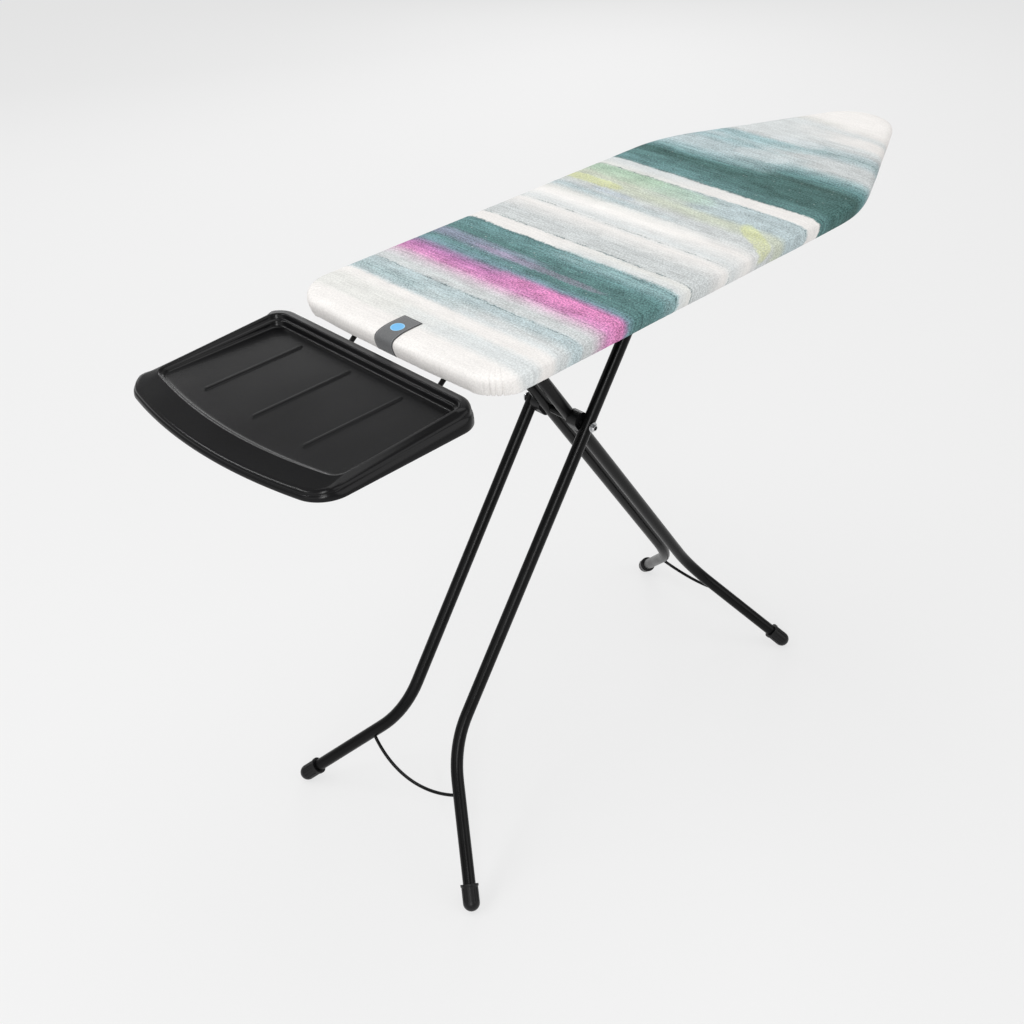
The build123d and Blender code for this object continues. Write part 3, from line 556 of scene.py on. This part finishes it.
def torn_edges(shade, cut, ragged):
    """How far the edges of the stripes stray along the board, in metres."""
    wobble = shade.noise(cut, (30, 13, 1), 5.0, 0.62)
    torn = shade.noise(cut, (70, 95, 1), 4.0, 0.7)
    moved = 0.0
    for pattern, width in ((wobble, 8 * MM), (torn, 11 * MM), (ragged, 7 * MM)):
        moved = shade.math("ADD", moved, shade.math("MULTIPLY_ADD", pattern, width, -width / 2))
    return moved


def print_stripes(shade, distance, y, cut):
    """The stripes, with the far side's running into the near side's round the middle line."""
    far = side_colours(shade, distance, FAR_STRIPES, FAR_STRIPES_BEYOND)
    near = side_colours(shade, distance, NEAR_STRIPES, NEAR_STRIPES_BEYOND)
    drift = shade.noise(cut, (9, 12, 1), 3.0)
    side = shade.math("ADD", y, shade.math("MULTIPLY_ADD", drift, 0.24, -0.12))
    return shade.mix(shade.band(side, -SIDES_MEET, SIDES_MEET), near, far)


def print_patches(shade, colour, distance, y, ragged):
    """The soft patches over the stripes, thinner where the cloth is ragged."""
    wear = shade.math("MULTIPLY_ADD", shade.band(ragged, 0.32, 0.66), 0.5, 0.5)
    for tint, strength, centre, half_size, lean in PATCHES:
        worn = shade.math("MULTIPLY", patch_mask(shade, distance, y, centre, half_size, lean), wear)
        colour = shade.mix(shade.math("MULTIPLY", worn, strength), colour, linear(*tint))
    return colour


def print_lines(shade, colour, distance, cut):
    """The thin dark lines, broken here and there."""
    lines = 0.0
    for at, half_width in PRINT_LINES:
        mask = shade.inside(shade.gap(distance, at * MM), half_width * MM, half_width * MM)
        lines = shade.math("MAXIMUM", lines, mask)
    broken = shade.band(shade.noise(cut, (60, 42, 1), 3.0), 0.4, 0.6, 0.15, 1.0)
    lines = shade.math("MULTIPLY", lines, broken)
    return shade.mix(shade.math("MULTIPLY", lines, LINE_STRENGTH), colour, linear(*LINE_COLOUR))


def print_grain(shade, colour, pigment, cut):
    """Uneven pigment: slight on the plain cloth, most in the dark stripes."""
    gain = 0.0
    for scale, detail, roughness, used, ends in GRAINS.values():
        pattern = shade.noise(cut, scale, detail, roughness)
        gain = shade.math("ADD", gain, shade.band(pattern, *used, *ends))
    gain = shade.math("MULTIPLY_ADD", gain, shade.math("MULTIPLY_ADD", pigment, 0.86, 0.14), 1.0)
    level = shade.node("ShaderNodeCombineXYZ", [gain, gain, gain]).outputs[0]
    return shade.mix(1.0, colour, level, "MULTIPLY")


def print_flecks(shade, colour, pigment, cut):
    """Bare threads: light flecks where the brush skipped, only where there is pigment."""
    skipped = shade.band(shade.noise(cut, (120, 75, 1), 2.0, 0.75), 0.66, 0.76)
    skipped = shade.math("MULTIPLY", skipped, shade.band(pigment, 0.05, 0.3))
    return shade.mix(shade.math("MULTIPLY", skipped, FLECK_STRENGTH), colour, linear(*FLECK_COLOUR))


def print_material():
    """Printed cotton: watercolour stripes across the board, with ragged edges, grain and weave."""
    shade = Shade("cover_print", Roughness=0.9, Specular_IOR_Level=0.08, Sheen_Weight=0.02,
                  Sheen_Roughness=0.6)
    cut = shade.cut()
    x, y, _ = shade.split(cut)
    ragged = shade.noise(cut, (260, 340, 1), 2.0, 0.7)
    distance = shade.math("ADD", shade.math("SUBTRACT", x, TAIL_X), torn_edges(shade, cut, ragged))
    colour = print_stripes(shade, distance, y, cut)
    colour = print_patches(shade, colour, distance, y, ragged)
    colour = print_lines(shade, colour, distance, cut)
    value = shade.node("ShaderNodeRGBToBW", [colour]).outputs[0]
    pigment = shade.band(value, 0.78, 0.3)
    colour = print_grain(shade, colour, pigment, cut)
    colour = print_flecks(shade, colour, pigment, cut)
    weave = shade.bump(weave_height(shade, cut, COTTON_PITCH), 0.12 * MM, 0.6)
    slack = shade.noise(cut, (60, 60, 1), 2.0)
    shade.feed(Base_Color=colour, Normal=shade.bump(slack, 0.9 * MM, 0.55, weave))
    return shade.material


def weave_height(shade, cut, pitch):
    """Height of a plain weave of this pitch over the flat cloth."""
    x, y, _ = shade.split(cut)
    turn = 2 * pi / pitch
    warp = shade.math("SINE", shade.math("MULTIPLY", x, turn))
    weft = shade.math("SINE", shade.math("MULTIPLY", y, turn))
    return shade.math("MULTIPLY_ADD", shade.math("MULTIPLY", warp, weft), 0.5, 0.5)


# =============================== label and pad ===============================

LABEL_THICK = 0.8 * MM
LABEL_LIFT = 0.9 * MM
LABEL_COLUMNS = 16
LABEL_FOOT = 3.4 * MM
LABEL_TOP_STEPS = 8
LABEL_EDGE_DROP = 0.35 * MM
LABEL_PITCH = 0.9 * MM
LABEL_BORDER = 2.0 * MM
STITCH_INSET = 3.0 * MM
STITCH_HALF = 0.6 * MM
STITCH_LENGTH = 3 * MM
DISC_PLACE = 31 * MM
DISC_RADIUS = 11.1 * MM
DISC_RING = 1.3 * MM
DISC_BLUR = 0.5 * MM
LABEL_DARK = (84, 85, 86)
LABEL_LIGHT = (106, 107, 108)
BORDER_GREY = (62, 63, 64)
STITCH_GREY = (150, 151, 152)
DISC_BLUE = (104, 174, 222)
RING_BLUE = (146, 198, 232)


def edge_path(lift, front, foot):
    """(x, z) along the middle of the tail edge, lift outside the cover, from the top down to foot."""
    flat_end = TAIL_X + EDGE_PROFILE[0][0] * MM
    path = [(front + (flat_end - front) * i / LABEL_TOP_STEPS, BOARD_TOP - SOFT_SWELL + lift)
            for i in range(LABEL_TOP_STEPS)]
    profile = []
    for inset, drop in EDGE_PROFILE:
        z = BOARD_TOP - SOFT_SWELL * (1 - smoothstep(0, 8, drop)) - drop * MM
        if z < foot:
            break
        bow = TAIL_BOW * smoothstep(0.2, 8, drop)
        profile.append((TAIL_X + inset * MM - bow, z))
    for i, (x, z) in enumerate(profile):
        before = profile[max(i - 1, 0)]
        after = profile[min(i + 1, len(profile) - 1)]
        tangent = Vector((after[0] - before[0], after[1] - before[1])).normalized()
        path.append((x + tangent.y * lift, z - tangent.x * lift))
    return path


def make_label():
    """The woven tab, laid over the tail edge and down the skirt."""
    half = (label_high.y - label_low.y) / 2
    path = edge_path(LABEL_LIFT, label_high.x, label_low.z - LABEL_FOOT)
    lengths = running_length(path)
    bm = bmesh.new()
    layer = bm.verts.layers.float_vector.new("cut")
    rows = []
    for (x, z), along in zip(path, lengths):
        row = []
        for j in range(LABEL_COLUMNS + 1):
            y = -half + 2 * half * j / LABEL_COLUMNS
            edge = smoothstep(0.8, 1.0, abs(y) / half)
            vert = bm.verts.new((x, y, z - LABEL_EDGE_DROP * edge))
            vert[layer] = (along, y, 0)
            row.append(vert)
        rows.append(row)
    for a, b in zip(rows, rows[1:]):
        for j in range(LABEL_COLUMNS):
            bm.faces.new((a[j], b[j], b[j + 1], a[j + 1]))
    bmesh.ops.recalc_face_normals(bm, faces=bm.faces)
    mesh = bpy.data.meshes.new("woven_label")
    bm.to_mesh(mesh)
    bm.free()
    label = new_object("woven_label", mesh)
    add_modifier(label, "SOLIDIFY", thickness=LABEL_THICK, offset=0)
    label.data.materials.append(label_material(half, lengths[-1]))
    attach(label, "board")
    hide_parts("cover_label")


def label_material(half, length):
    """Grey satin weave with a darker folded border, a stitch line and a plain blue disc."""
    shade = Shade("label_weave", Roughness=0.7, Specular_IOR_Level=0.35, Sheen_Weight=0.1)
    cut = shade.cut()
    x, y, _ = shade.split(cut)
    from_disc = shade.math("SQRT", shade.math(
        "ADD", shade.power(shade.math("SUBTRACT", x, DISC_PLACE), 2.0), shade.power(y, 2.0)))
    disc = shade.inside(from_disc, DISC_RADIUS, DISC_BLUR)
    ring = shade.math("SUBTRACT", disc, shade.inside(from_disc, DISC_RADIUS - DISC_RING, DISC_BLUR))
    side = shade.math("SUBTRACT", half, shade.math("ABSOLUTE", y))
    end = shade.math("MINIMUM", x, shade.math("SUBTRACT", length, x))
    edge = shade.math("MINIMUM", side, end)
    border = shade.inside(edge, LABEL_BORDER, 0.8 * MM)
    stitch = shade.inside(shade.gap(edge, STITCH_INSET), STITCH_HALF, 0.3 * MM)
    dashes = shade.math("SINE", shade.math("MULTIPLY", shade.math("ADD", x, y), 2 * pi / STITCH_LENGTH))
    stitch = shade.math("MULTIPLY", stitch, shade.band(dashes, -0.2, 0.2))
    fibre = shade.noise(cut, (900, 300, 1), 3.0, 0.6)
    base = shade.ramp(fibre, [(0.25, linear(*LABEL_DARK)), (0.75, linear(*LABEL_LIGHT))])
    colour = shade.mix(border, base, linear(*BORDER_GREY))
    colour = shade.mix(shade.math("MULTIPLY", stitch, 0.7), colour, linear(*STITCH_GREY))
    blue = shade.mix(ring, linear(*DISC_BLUE), linear(*RING_BLUE))
    raised = shade.math("MULTIPLY", stitch, 1.5)
    height = shade.math("ADD", weave_height(shade, cut, LABEL_PITCH), raised)
    shade.feed(Base_Color=shade.mix(disc, colour, blue), Normal=shade.bump(height, 0.12 * MM, 0.8))
    return shade.material


PAD_MIDDLE = 60
PAD_ROWS = 8
# (inwards in mm, share of the thickness), from the middle of the underside round to the top
PAD_SECTION = [(PAD_MIDDLE, 0), (14, 0), (6.5, 0.02), (4.4, 0.15), (3.4, 0.33), (3.7, 0.5), (5, 0.63),
               (7.4, 0.75), (12, 0.88), (19, 0.95), (30, 0.985), (46, 1.0), (PAD_MIDDLE, 1.0)]
PAD_LIFT = 0.15 * MM
PAD_BELOW_COVER = 2 * MM


def make_pad():
    """The felt pad between the deck and the cover, with a soft rolled edge."""
    outline = board_outline(2 * OUTLINE_STEP)
    floor = deck_high.z + PAD_LIFT
    roof = BOARD_TOP - PAD_BELOW_COVER
    rings = []
    for inset, share in PAD_SECTION:
        rings.append([(x - nx * inset * MM, y - ny * inset * MM, floor + (roof - floor) * share)
                      for x, y, nx, ny in outline])
    for i in range(1, PAD_ROWS + 1):
        ring = []
        for x, y, nx, ny in outline:
            start = Vector((x - nx * PAD_MIDDLE * MM, y - ny * PAD_MIDDLE * MM))
            point = start.lerp(medial_point(start.x), i / PAD_ROWS)
            ring.append((point.x, point.y, roof + 0.3 * swell(point.x, point.y)))
        rings.append(ring)
    pad = new_object("felt_pad", ring_mesh("felt_pad", rings, close_first=True))
    pad.data.materials.append(felt_material())
    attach(pad, "board")
    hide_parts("pad")


def felt_material():
    """Pale grey needled felt."""
    shade = Shade("felt", Roughness=0.95, Specular_IOR_Level=0.15, Sheen_Weight=0.2)
    fluff = shade.noise(shade.place(), (320, 320, 320), 4.0, 0.7)
    colour = shade.ramp(fluff, [(0.25, linear(176, 176, 172)), (0.8, linear(226, 225, 220))])
    shade.feed(Base_Color=colour, Normal=shade.bump(fluff, 0.8 * MM, 0.7))
    return shade.material


# =============================== the tray ===============================

TRAY_FRONT_X = tray_low.x
TRAY_BACK_X = tray_high.x
TRAY_HALF = tray_high.y
TRAY_BOTTOM = tray_low.z
TRAY_TOP = tray_high.z
TRAY_FRONT_R = 827 * MM
TRAY_FLOOR = TRAY_BOTTOM + 13 * MM
TRAY_SKIN = 3.2 * MM
UNDERSIDE_INSETS = (5, 120)
FLOOR_SHARES = (0.25, 0.5, 0.75, 0.93)
LIP_TOP = TRAY_BOTTOM + 11 * MM
LIP_BREAK_X = TRAY_FRONT_X + 62 * MM
LIP_BREAK_Z = TRAY_BOTTOM + 19 * MM
RIM_BREAK_X = TRAY_BACK_X - 30 * MM
RECESS_SIDE = 19 * MM
RECESS_FRONT = 45 * MM
RECESS_FRONT_R = 849 * MM
RECESS_CORNER = 22 * MM
FRONT_CORNER = 50 * MM
BACK_CORNER = 38 * MM
CORNER_SHRINK = 0.6
RECESS_SHRINK = 0.5
# Points along half the back, the back corner, the side, the front corner and half the front.
LOOP_POINTS = (18, 14, 40, 16, 28)
BREAK_REACH = 9 * MM
BREAK_SAMPLES = 7
RIB_X = TRAY_BACK_X - 134 * MM
RIB_MIDDLE = 5 * MM
RIB_PITCH = 113 * MM
RIB_HALF_LENGTH = 87 * MM
RIB_HALF_WIDTH = 3 * MM
RIB_POINTS = 32
# (inwards, height above the floor) in mm
RIB_PROFILE = [(-1.2, -0.1), (-0.2, 0.2), (0.5, 1.6), (1.1, 2.3), (1.9, 2.6), (2.6, 2.6)]
# (inwards in mm, share of the height) from the inner edge of the underside to the rim: on the long
# sides a broad slope above the crease, on the front and back an upright edge.
TRAY_SIDES = [(3.2, 0.42), (2.6, 0.1), (2.0, 0.0), (0.6, 0.0), (0.0, 0.03), (0.3, 0.14), (1.5, 0.3),
              (3.0, 0.45), (4.8, 0.56), (5.8, 0.6), (6.3, 0.65), (6.9, 0.72), (8.2, 0.78),
              (11.4, 0.87), (15.0, 0.97)]
TRAY_ENDS = [(3.2, 0.42), (2.6, 0.1), (2.0, 0.0), (0.6, 0.0), (0.0, 0.04), (0.1, 0.2), (0.5, 0.38),
             (1.2, 0.5), (2.2, 0.57), (2.7, 0.61), (2.6, 0.68), (3.2, 0.8), (4.4, 0.91),
             (6.6, 0.98), (10.0, 1.0)]
# (inwards in mm, share of the recess's depth, extra height in mm) from the rim down to the floor
TRAY_RECESS = [(-3.0, 1.0, 0.0), (-2.0, 1.0, 0.3), (-0.9, 1.0, 0.35), (0.1, 0.97, 0.05),
               (0.9, 0.84, 0), (1.5, 0.64, 0), (2.4, 0.56, 0), (4.2, 0.535, 0), (5.4, 0.48, 0),
               (5.9, 0.36, 0), (6.5, 0.16, 0), (7.6, 0.05, 0), (9.6, 0.0, 0.05), (13, 0.0, 0)]


def tray_loop(front, front_radius, back, half, front_corner, back_corner):
    """One closed outline of the tray, always with the same number of points.

    A bowed front, round corners and straight sides, from the middle of the back along the far side.
    """
    back_y = half - back_corner
    corner_y = half - front_corner
    centre_x = front + front_radius
    corner_x = centre_x - sqrt((front_radius - front_corner) ** 2 - corner_y ** 2)
    bow = asin(corner_y / (front_radius - front_corner))
    stretches = [
        lambda t: (back, back_y * t, 1, 0),
        lambda t: (back - back_corner + back_corner * sin(pi / 2 * (1 - t)),
                   back_y + back_corner * cos(pi / 2 * (1 - t)),
                   sin(pi / 2 * (1 - t)), cos(pi / 2 * (1 - t))),
        lambda t: (back - back_corner + (corner_x - back + back_corner) * t, half, 0, 1),
        lambda t: (corner_x - front_corner * sin((pi / 2 - bow) * t),
                   corner_y + front_corner * cos((pi / 2 - bow) * t),
                   -sin((pi / 2 - bow) * t), cos((pi / 2 - bow) * t)),
        lambda t: (centre_x - front_radius * cos(bow * (1 - t)), front_radius * sin(bow * (1 - t)),
                   -cos(bow * (1 - t)), sin(bow * (1 - t))),
    ]
    out = [place(i / count) for place, count in zip(stretches, LOOP_POINTS) for i in range(count)]
    out.append((front, 0, -1, 0))
    return mirrored(out)


def tray_top(x):
    """Height of the rim's top along the tray: high at the board, falling to the front lip."""
    if x < LIP_BREAK_X:
        t = (x - TRAY_FRONT_X) / (LIP_BREAK_X - TRAY_FRONT_X)
        return LIP_TOP + (LIP_BREAK_Z - LIP_TOP) * t
    t = min((x - LIP_BREAK_X) / (RIM_BREAK_X - LIP_BREAK_X), 1.0)
    return LIP_BREAK_Z + (TRAY_TOP - LIP_BREAK_Z) * t


def smooth_top(x):
    """The rim's height with its breaks rounded."""
    return sum(tray_top(x + BREAK_REACH * (2 * i / (BREAK_SAMPLES - 1) - 1))
               for i in range(BREAK_SAMPLES)) / BREAK_SAMPLES


def outer_ring(side_step, end_step):
    """A ring of the tray's outside, from (inset, share of the height) on its sides and on its ends."""
    loops = [tray_loop(TRAY_FRONT_X + inset, TRAY_FRONT_R - inset, TRAY_BACK_X - inset,
                       TRAY_HALF - inset, FRONT_CORNER - CORNER_SHRINK * inset,
                       BACK_CORNER - CORNER_SHRINK * inset)
             for inset in (side_step[0] * MM, end_step[0] * MM)]
    ring = []
    for a, b in zip(*loops):
        end = smoothstep(0.05, 0.5, abs(a[2]))
        x = a[0] + (b[0] - a[0]) * end
        y = a[1] + (b[1] - a[1]) * end
        share = side_step[1] + (end_step[1] - side_step[1]) * end
        ring.append((x, y, TRAY_BOTTOM + (smooth_top(x) - TRAY_BOTTOM) * share))
    return ring


def recess_ring(inset, share, rise):
    """A ring of the recess's wall: share 1 is the rim's top and 0 the floor."""
    corner = RECESS_CORNER - RECESS_SHRINK * inset
    loop = tray_loop(TRAY_FRONT_X + RECESS_FRONT + inset, RECESS_FRONT_R - inset,
                     TRAY_BACK_X - RECESS_SIDE - inset, TRAY_HALF - RECESS_SIDE - inset,
                     corner, corner)
    return [(x, y, TRAY_FLOOR + (smooth_top(x) - TRAY_FLOOR) * share + rise) for x, y, _, _ in loop]


def rib_rings(y):
    """Rings of one raised rib on the floor, with round ends."""
    rings = []
    for inset, height in RIB_PROFILE:
        radius = RIB_HALF_WIDTH - inset * MM
        ring = []
        for i in range(RIB_POINTS):
            angle = 2 * pi * (i + 0.5) / RIB_POINTS
            end = (RIB_HALF_LENGTH - RIB_HALF_WIDTH) * (1 if cos(angle) > 0 else -1)
            ring.append((RIB_X + end + radius * cos(angle), y + radius * sin(angle),
                         TRAY_FLOOR + height * MM))
        rings.append(ring)
    return rings


def tray_underside():
    """The underside of the tray's floor, which closes the tray and leaves it hollow below."""
    rings = [outer_ring(TRAY_SIDES[0], TRAY_ENDS[0])]
    for inset in UNDERSIDE_INSETS:
        flat = outer_ring((inset, 0.5), (inset, 0.5))
        rings.append([(x, y, TRAY_FLOOR - TRAY_SKIN) for x, y, _ in flat])
    return ring_mesh("tray_under", rings, close_last=True)


def make_tray():
    """The moulded tray: flared skirt, creased rim, stepped recess, wide front lip and three ribs."""
    rings = [outer_ring(a, b) for a, b in zip(TRAY_SIDES, TRAY_ENDS)]
    rings += [recess_ring(inset * MM, share, rise * MM) for inset, share, rise in TRAY_RECESS]
    middle = Vector(((TRAY_FRONT_X + TRAY_BACK_X) / 2, 0, TRAY_FLOOR))
    last = [Vector(p) for p in rings[-1]]
    for share in FLOOR_SHARES:
        rings.append([tuple(p.lerp(middle, share)) for p in last])
    shell = ring_mesh("moulded_tray", rings, close_last=True)
    bm = bmesh.new()
    bm.from_mesh(shell)
    bm.from_mesh(tray_underside())
    for step in (-1, 0, 1):
        bm.from_mesh(ring_mesh("rib", rib_rings(RIB_MIDDLE + step * RIB_PITCH), close_last=True))
    bmesh.ops.remove_doubles(bm, verts=bm.verts, dist=0.02 * MM)
    bmesh.ops.recalc_face_normals(bm, faces=bm.faces)
    bm.to_mesh(shell)
    bm.free()
    tray = new_object("moulded_tray", shell)
    tray.data.materials.append(plastic_material("tray_satin", level=12, roughness=0.22, gloss=0.18))
    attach(tray, "tray_rest")
    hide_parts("tray")


# =============================== CAD materials ===============================

def plastic_material(name, level, roughness, gloss=0.26):
    """Moulded satin plastic: fine spark-eroded grain and slight flow marks."""
    shade = Shade(name, Specular_IOR_Level=gloss)
    at = shade.place()
    grain = shade.noise(at, (1400, 1400, 1400), 2.0, 0.6)
    flow = shade.noise(at, (7, 11, 7), 3.0)
    dark = linear(level - 3, level - 3, level - 2)
    light = linear(level + 4, level + 4, level + 5)
    shade.feed(Base_Color=shade.ramp(flow, [(0.1, dark), (0.9, light)], smooth=True),
               Roughness=shade.band(flow, 0.1, 0.9, roughness - 0.02, roughness + 0.03),
               Normal=shade.bump(grain, 0.05 * MM, 0.4))
    return shade.material


def enamel_material(name, level, roughness):
    """Gloss powder coat: slight orange peel and faint colour drift."""
    shade = Shade(name, Specular_IOR_Level=0.16)
    at = shade.place()
    peel = shade.noise(at, (240, 240, 240), 1.0)
    drift = shade.noise(at, (16, 16, 16), 3.0)
    dark = linear(level - 3, level - 3, level - 3)
    light = linear(level + 3, level + 3, level + 4)
    shade.feed(Base_Color=shade.ramp(drift, [(0.3, dark), (0.7, light)]),
               Roughness=shade.band(drift, 0.2, 0.8, roughness - 0.03, roughness + 0.05),
               Normal=shade.bump(peel, 0.04 * MM, 0.25))
    return shade.material


def metal_material(name, colour, roughness):
    """Plated steel with fine turning marks and small tarnish clouds."""
    shade = Shade(name, Metallic=1.0)
    at = shade.place()
    marks = shade.noise(at, (90, 2600, 90))
    clouds = shade.noise(at, (70, 70, 70), 4.0, 0.6)
    dull = linear(*[c * 0.9 for c in colour])
    shade.feed(Base_Color=shade.ramp(clouds, [(0.3, dull), (0.7, linear(*colour))]),
               Roughness=shade.band(clouds, 0.25, 0.75, roughness, roughness + 0.12),
               Normal=shade.bump(marks, 0.03 * MM, 0.4))
    return shade.material


def paint_cad_nodes():
    """A procedural material on every CAD node that stays, by its material slot in the record."""
    materials = {
        "deck_paint": enamel_material("deck_enamel", level=44, roughness=0.38),
        "leg_black": enamel_material("leg_enamel", level=5, roughness=0.27),
        "foot_plastic": plastic_material("foot_satin", level=12, roughness=0.38),
        "fitting_plastic": plastic_material("fitting_satin", level=12, roughness=0.36),
        "nylon_white": plastic_material("nylon_satin", level=226, roughness=0.42),
        "zinc_steel": metal_material("zinc_plate", (196, 197, 198), roughness=0.3),
        "nut_chrome": metal_material("chrome_plate", (226, 227, 229), roughness=0.1),
    }
    for part in frame["record"]["subparts"]:
        if part["material_slot"] in materials:
            for slot in frame["nodes"][part["node"]].material_slots:
                slot.material = materials[part["material_slot"]]


# =============================== stage, lights, camera ===============================

FLOOR_HALF = 15.0
FLOOR_PAPER = (120, 120, 120)
FLOOR_GLOW = (214, 214, 214)
SURROUND = 0.44
# (name, place, aim, size, power in watts)
LIGHTS = [
    ("key", (0.5, 0.1, 4.3), (-0.1, 0, 0.9), (3.0, 2.2), 43),
    ("back", (1.6, 3.6, 2.0), (-0.5, 0.1, 0.94), (4.2, 1.5), 26),
    ("fill", (-4.2, -0.8, 1.5), (-0.4, 0, 0.9), (2.4, 1.6), 12),
    ("side", (1.3, -3.4, 2.3), (-0.3, 0, 0.8), (2.8, 2.4), 30),
    ("strip", (-3.2, -2.8, 2.4), (0, 0, 0.5), (0.8, 2.6), 76),
    ("edge", (-2.6, 1.6, 3.3), (-0.6, 0, 0.9), (3.6, 0.25), 62),
    ("rim", (3.6, 3.4, 1.7), (0, 0, 0.8), (1.4, 1.4), 30),
]


def make_floor():
    """A plain pale floor that lights itself in part, so that shadows on it stay faint."""
    mesh = bpy.data.meshes.new("floor")
    corners = [(-1, -1), (1, -1), (1, 1), (-1, 1)]
    mesh.from_pydata([(a * FLOOR_HALF, b * FLOOR_HALF, 0) for a, b in corners], [], [(0, 1, 2, 3)])
    floor = new_object("floor", mesh)
    shade = Shade("floor_paper", Base_Color=linear(*FLOOR_PAPER), Roughness=1.0,
                  Specular_IOR_Level=0.0, Emission_Color=linear(*FLOOR_GLOW),
                  Emission_Strength=1.0)
    floor.data.materials.append(shade.material)


def area_light(name, at, aim, size, power):
    """A soft rectangular light aimed at a point."""
    data = bpy.data.lights.new(name, "AREA")
    data.shape = "RECTANGLE"
    data.size, data.size_y = size
    data.energy = power
    light = bpy.data.objects.new(name, data)
    light.location = at
    light.rotation_mode = "QUATERNION"
    light.rotation_quaternion = (Vector(aim) - Vector(at)).to_track_quat("-Z", "Y")
    bpy.context.scene.collection.objects.link(light)


def make_lights():
    """An even surround, a broad key overhead, and soft lights all round for the highlights."""
    world = bpy.data.worlds.new("studio")
    world.use_nodes = True
    background = world.node_tree.nodes["Background"]
    background.inputs["Color"].default_value = (1, 1, 1, 1)
    background.inputs["Strength"].default_value = SURROUND
    bpy.context.scene.world = world
    for light in LIGHTS:
        area_light(*light)


def make_camera():
    """The camera at the viewing angle that shows tray, top and near side."""
    right_flat = Vector((cos(CAMERA_YAW), -sin(CAMERA_YAW), 0))
    forward = Vector((sin(CAMERA_YAW) * cos(CAMERA_PITCH), cos(CAMERA_YAW) * cos(CAMERA_PITCH),
                      -sin(CAMERA_PITCH)))
    up_flat = right_flat.cross(forward)
    right = right_flat * cos(CAMERA_ROLL) + up_flat * sin(CAMERA_ROLL)
    up = up_flat * cos(CAMERA_ROLL) - right_flat * sin(CAMERA_ROLL)
    turn = Matrix((right, up, -forward)).transposed()
    data = bpy.data.cameras.new("camera")
    data.lens = LENS
    data.sensor_width = SENSOR
    camera = bpy.data.objects.new("camera", data)
    camera.rotation_mode = "QUATERNION"
    camera.rotation_quaternion = turn.to_quaternion()
    camera.location = CAMERA_AT
    bpy.context.scene.collection.objects.link(camera)
    bpy.context.scene.camera = camera


make_pad()
make_cover()
make_label()
make_tray()
paint_cad_nodes()
make_floor()
make_lights()
make_camera()
bpy.context.scene.view_settings.view_transform = "Standard"
bpy.context.view_layer.update()
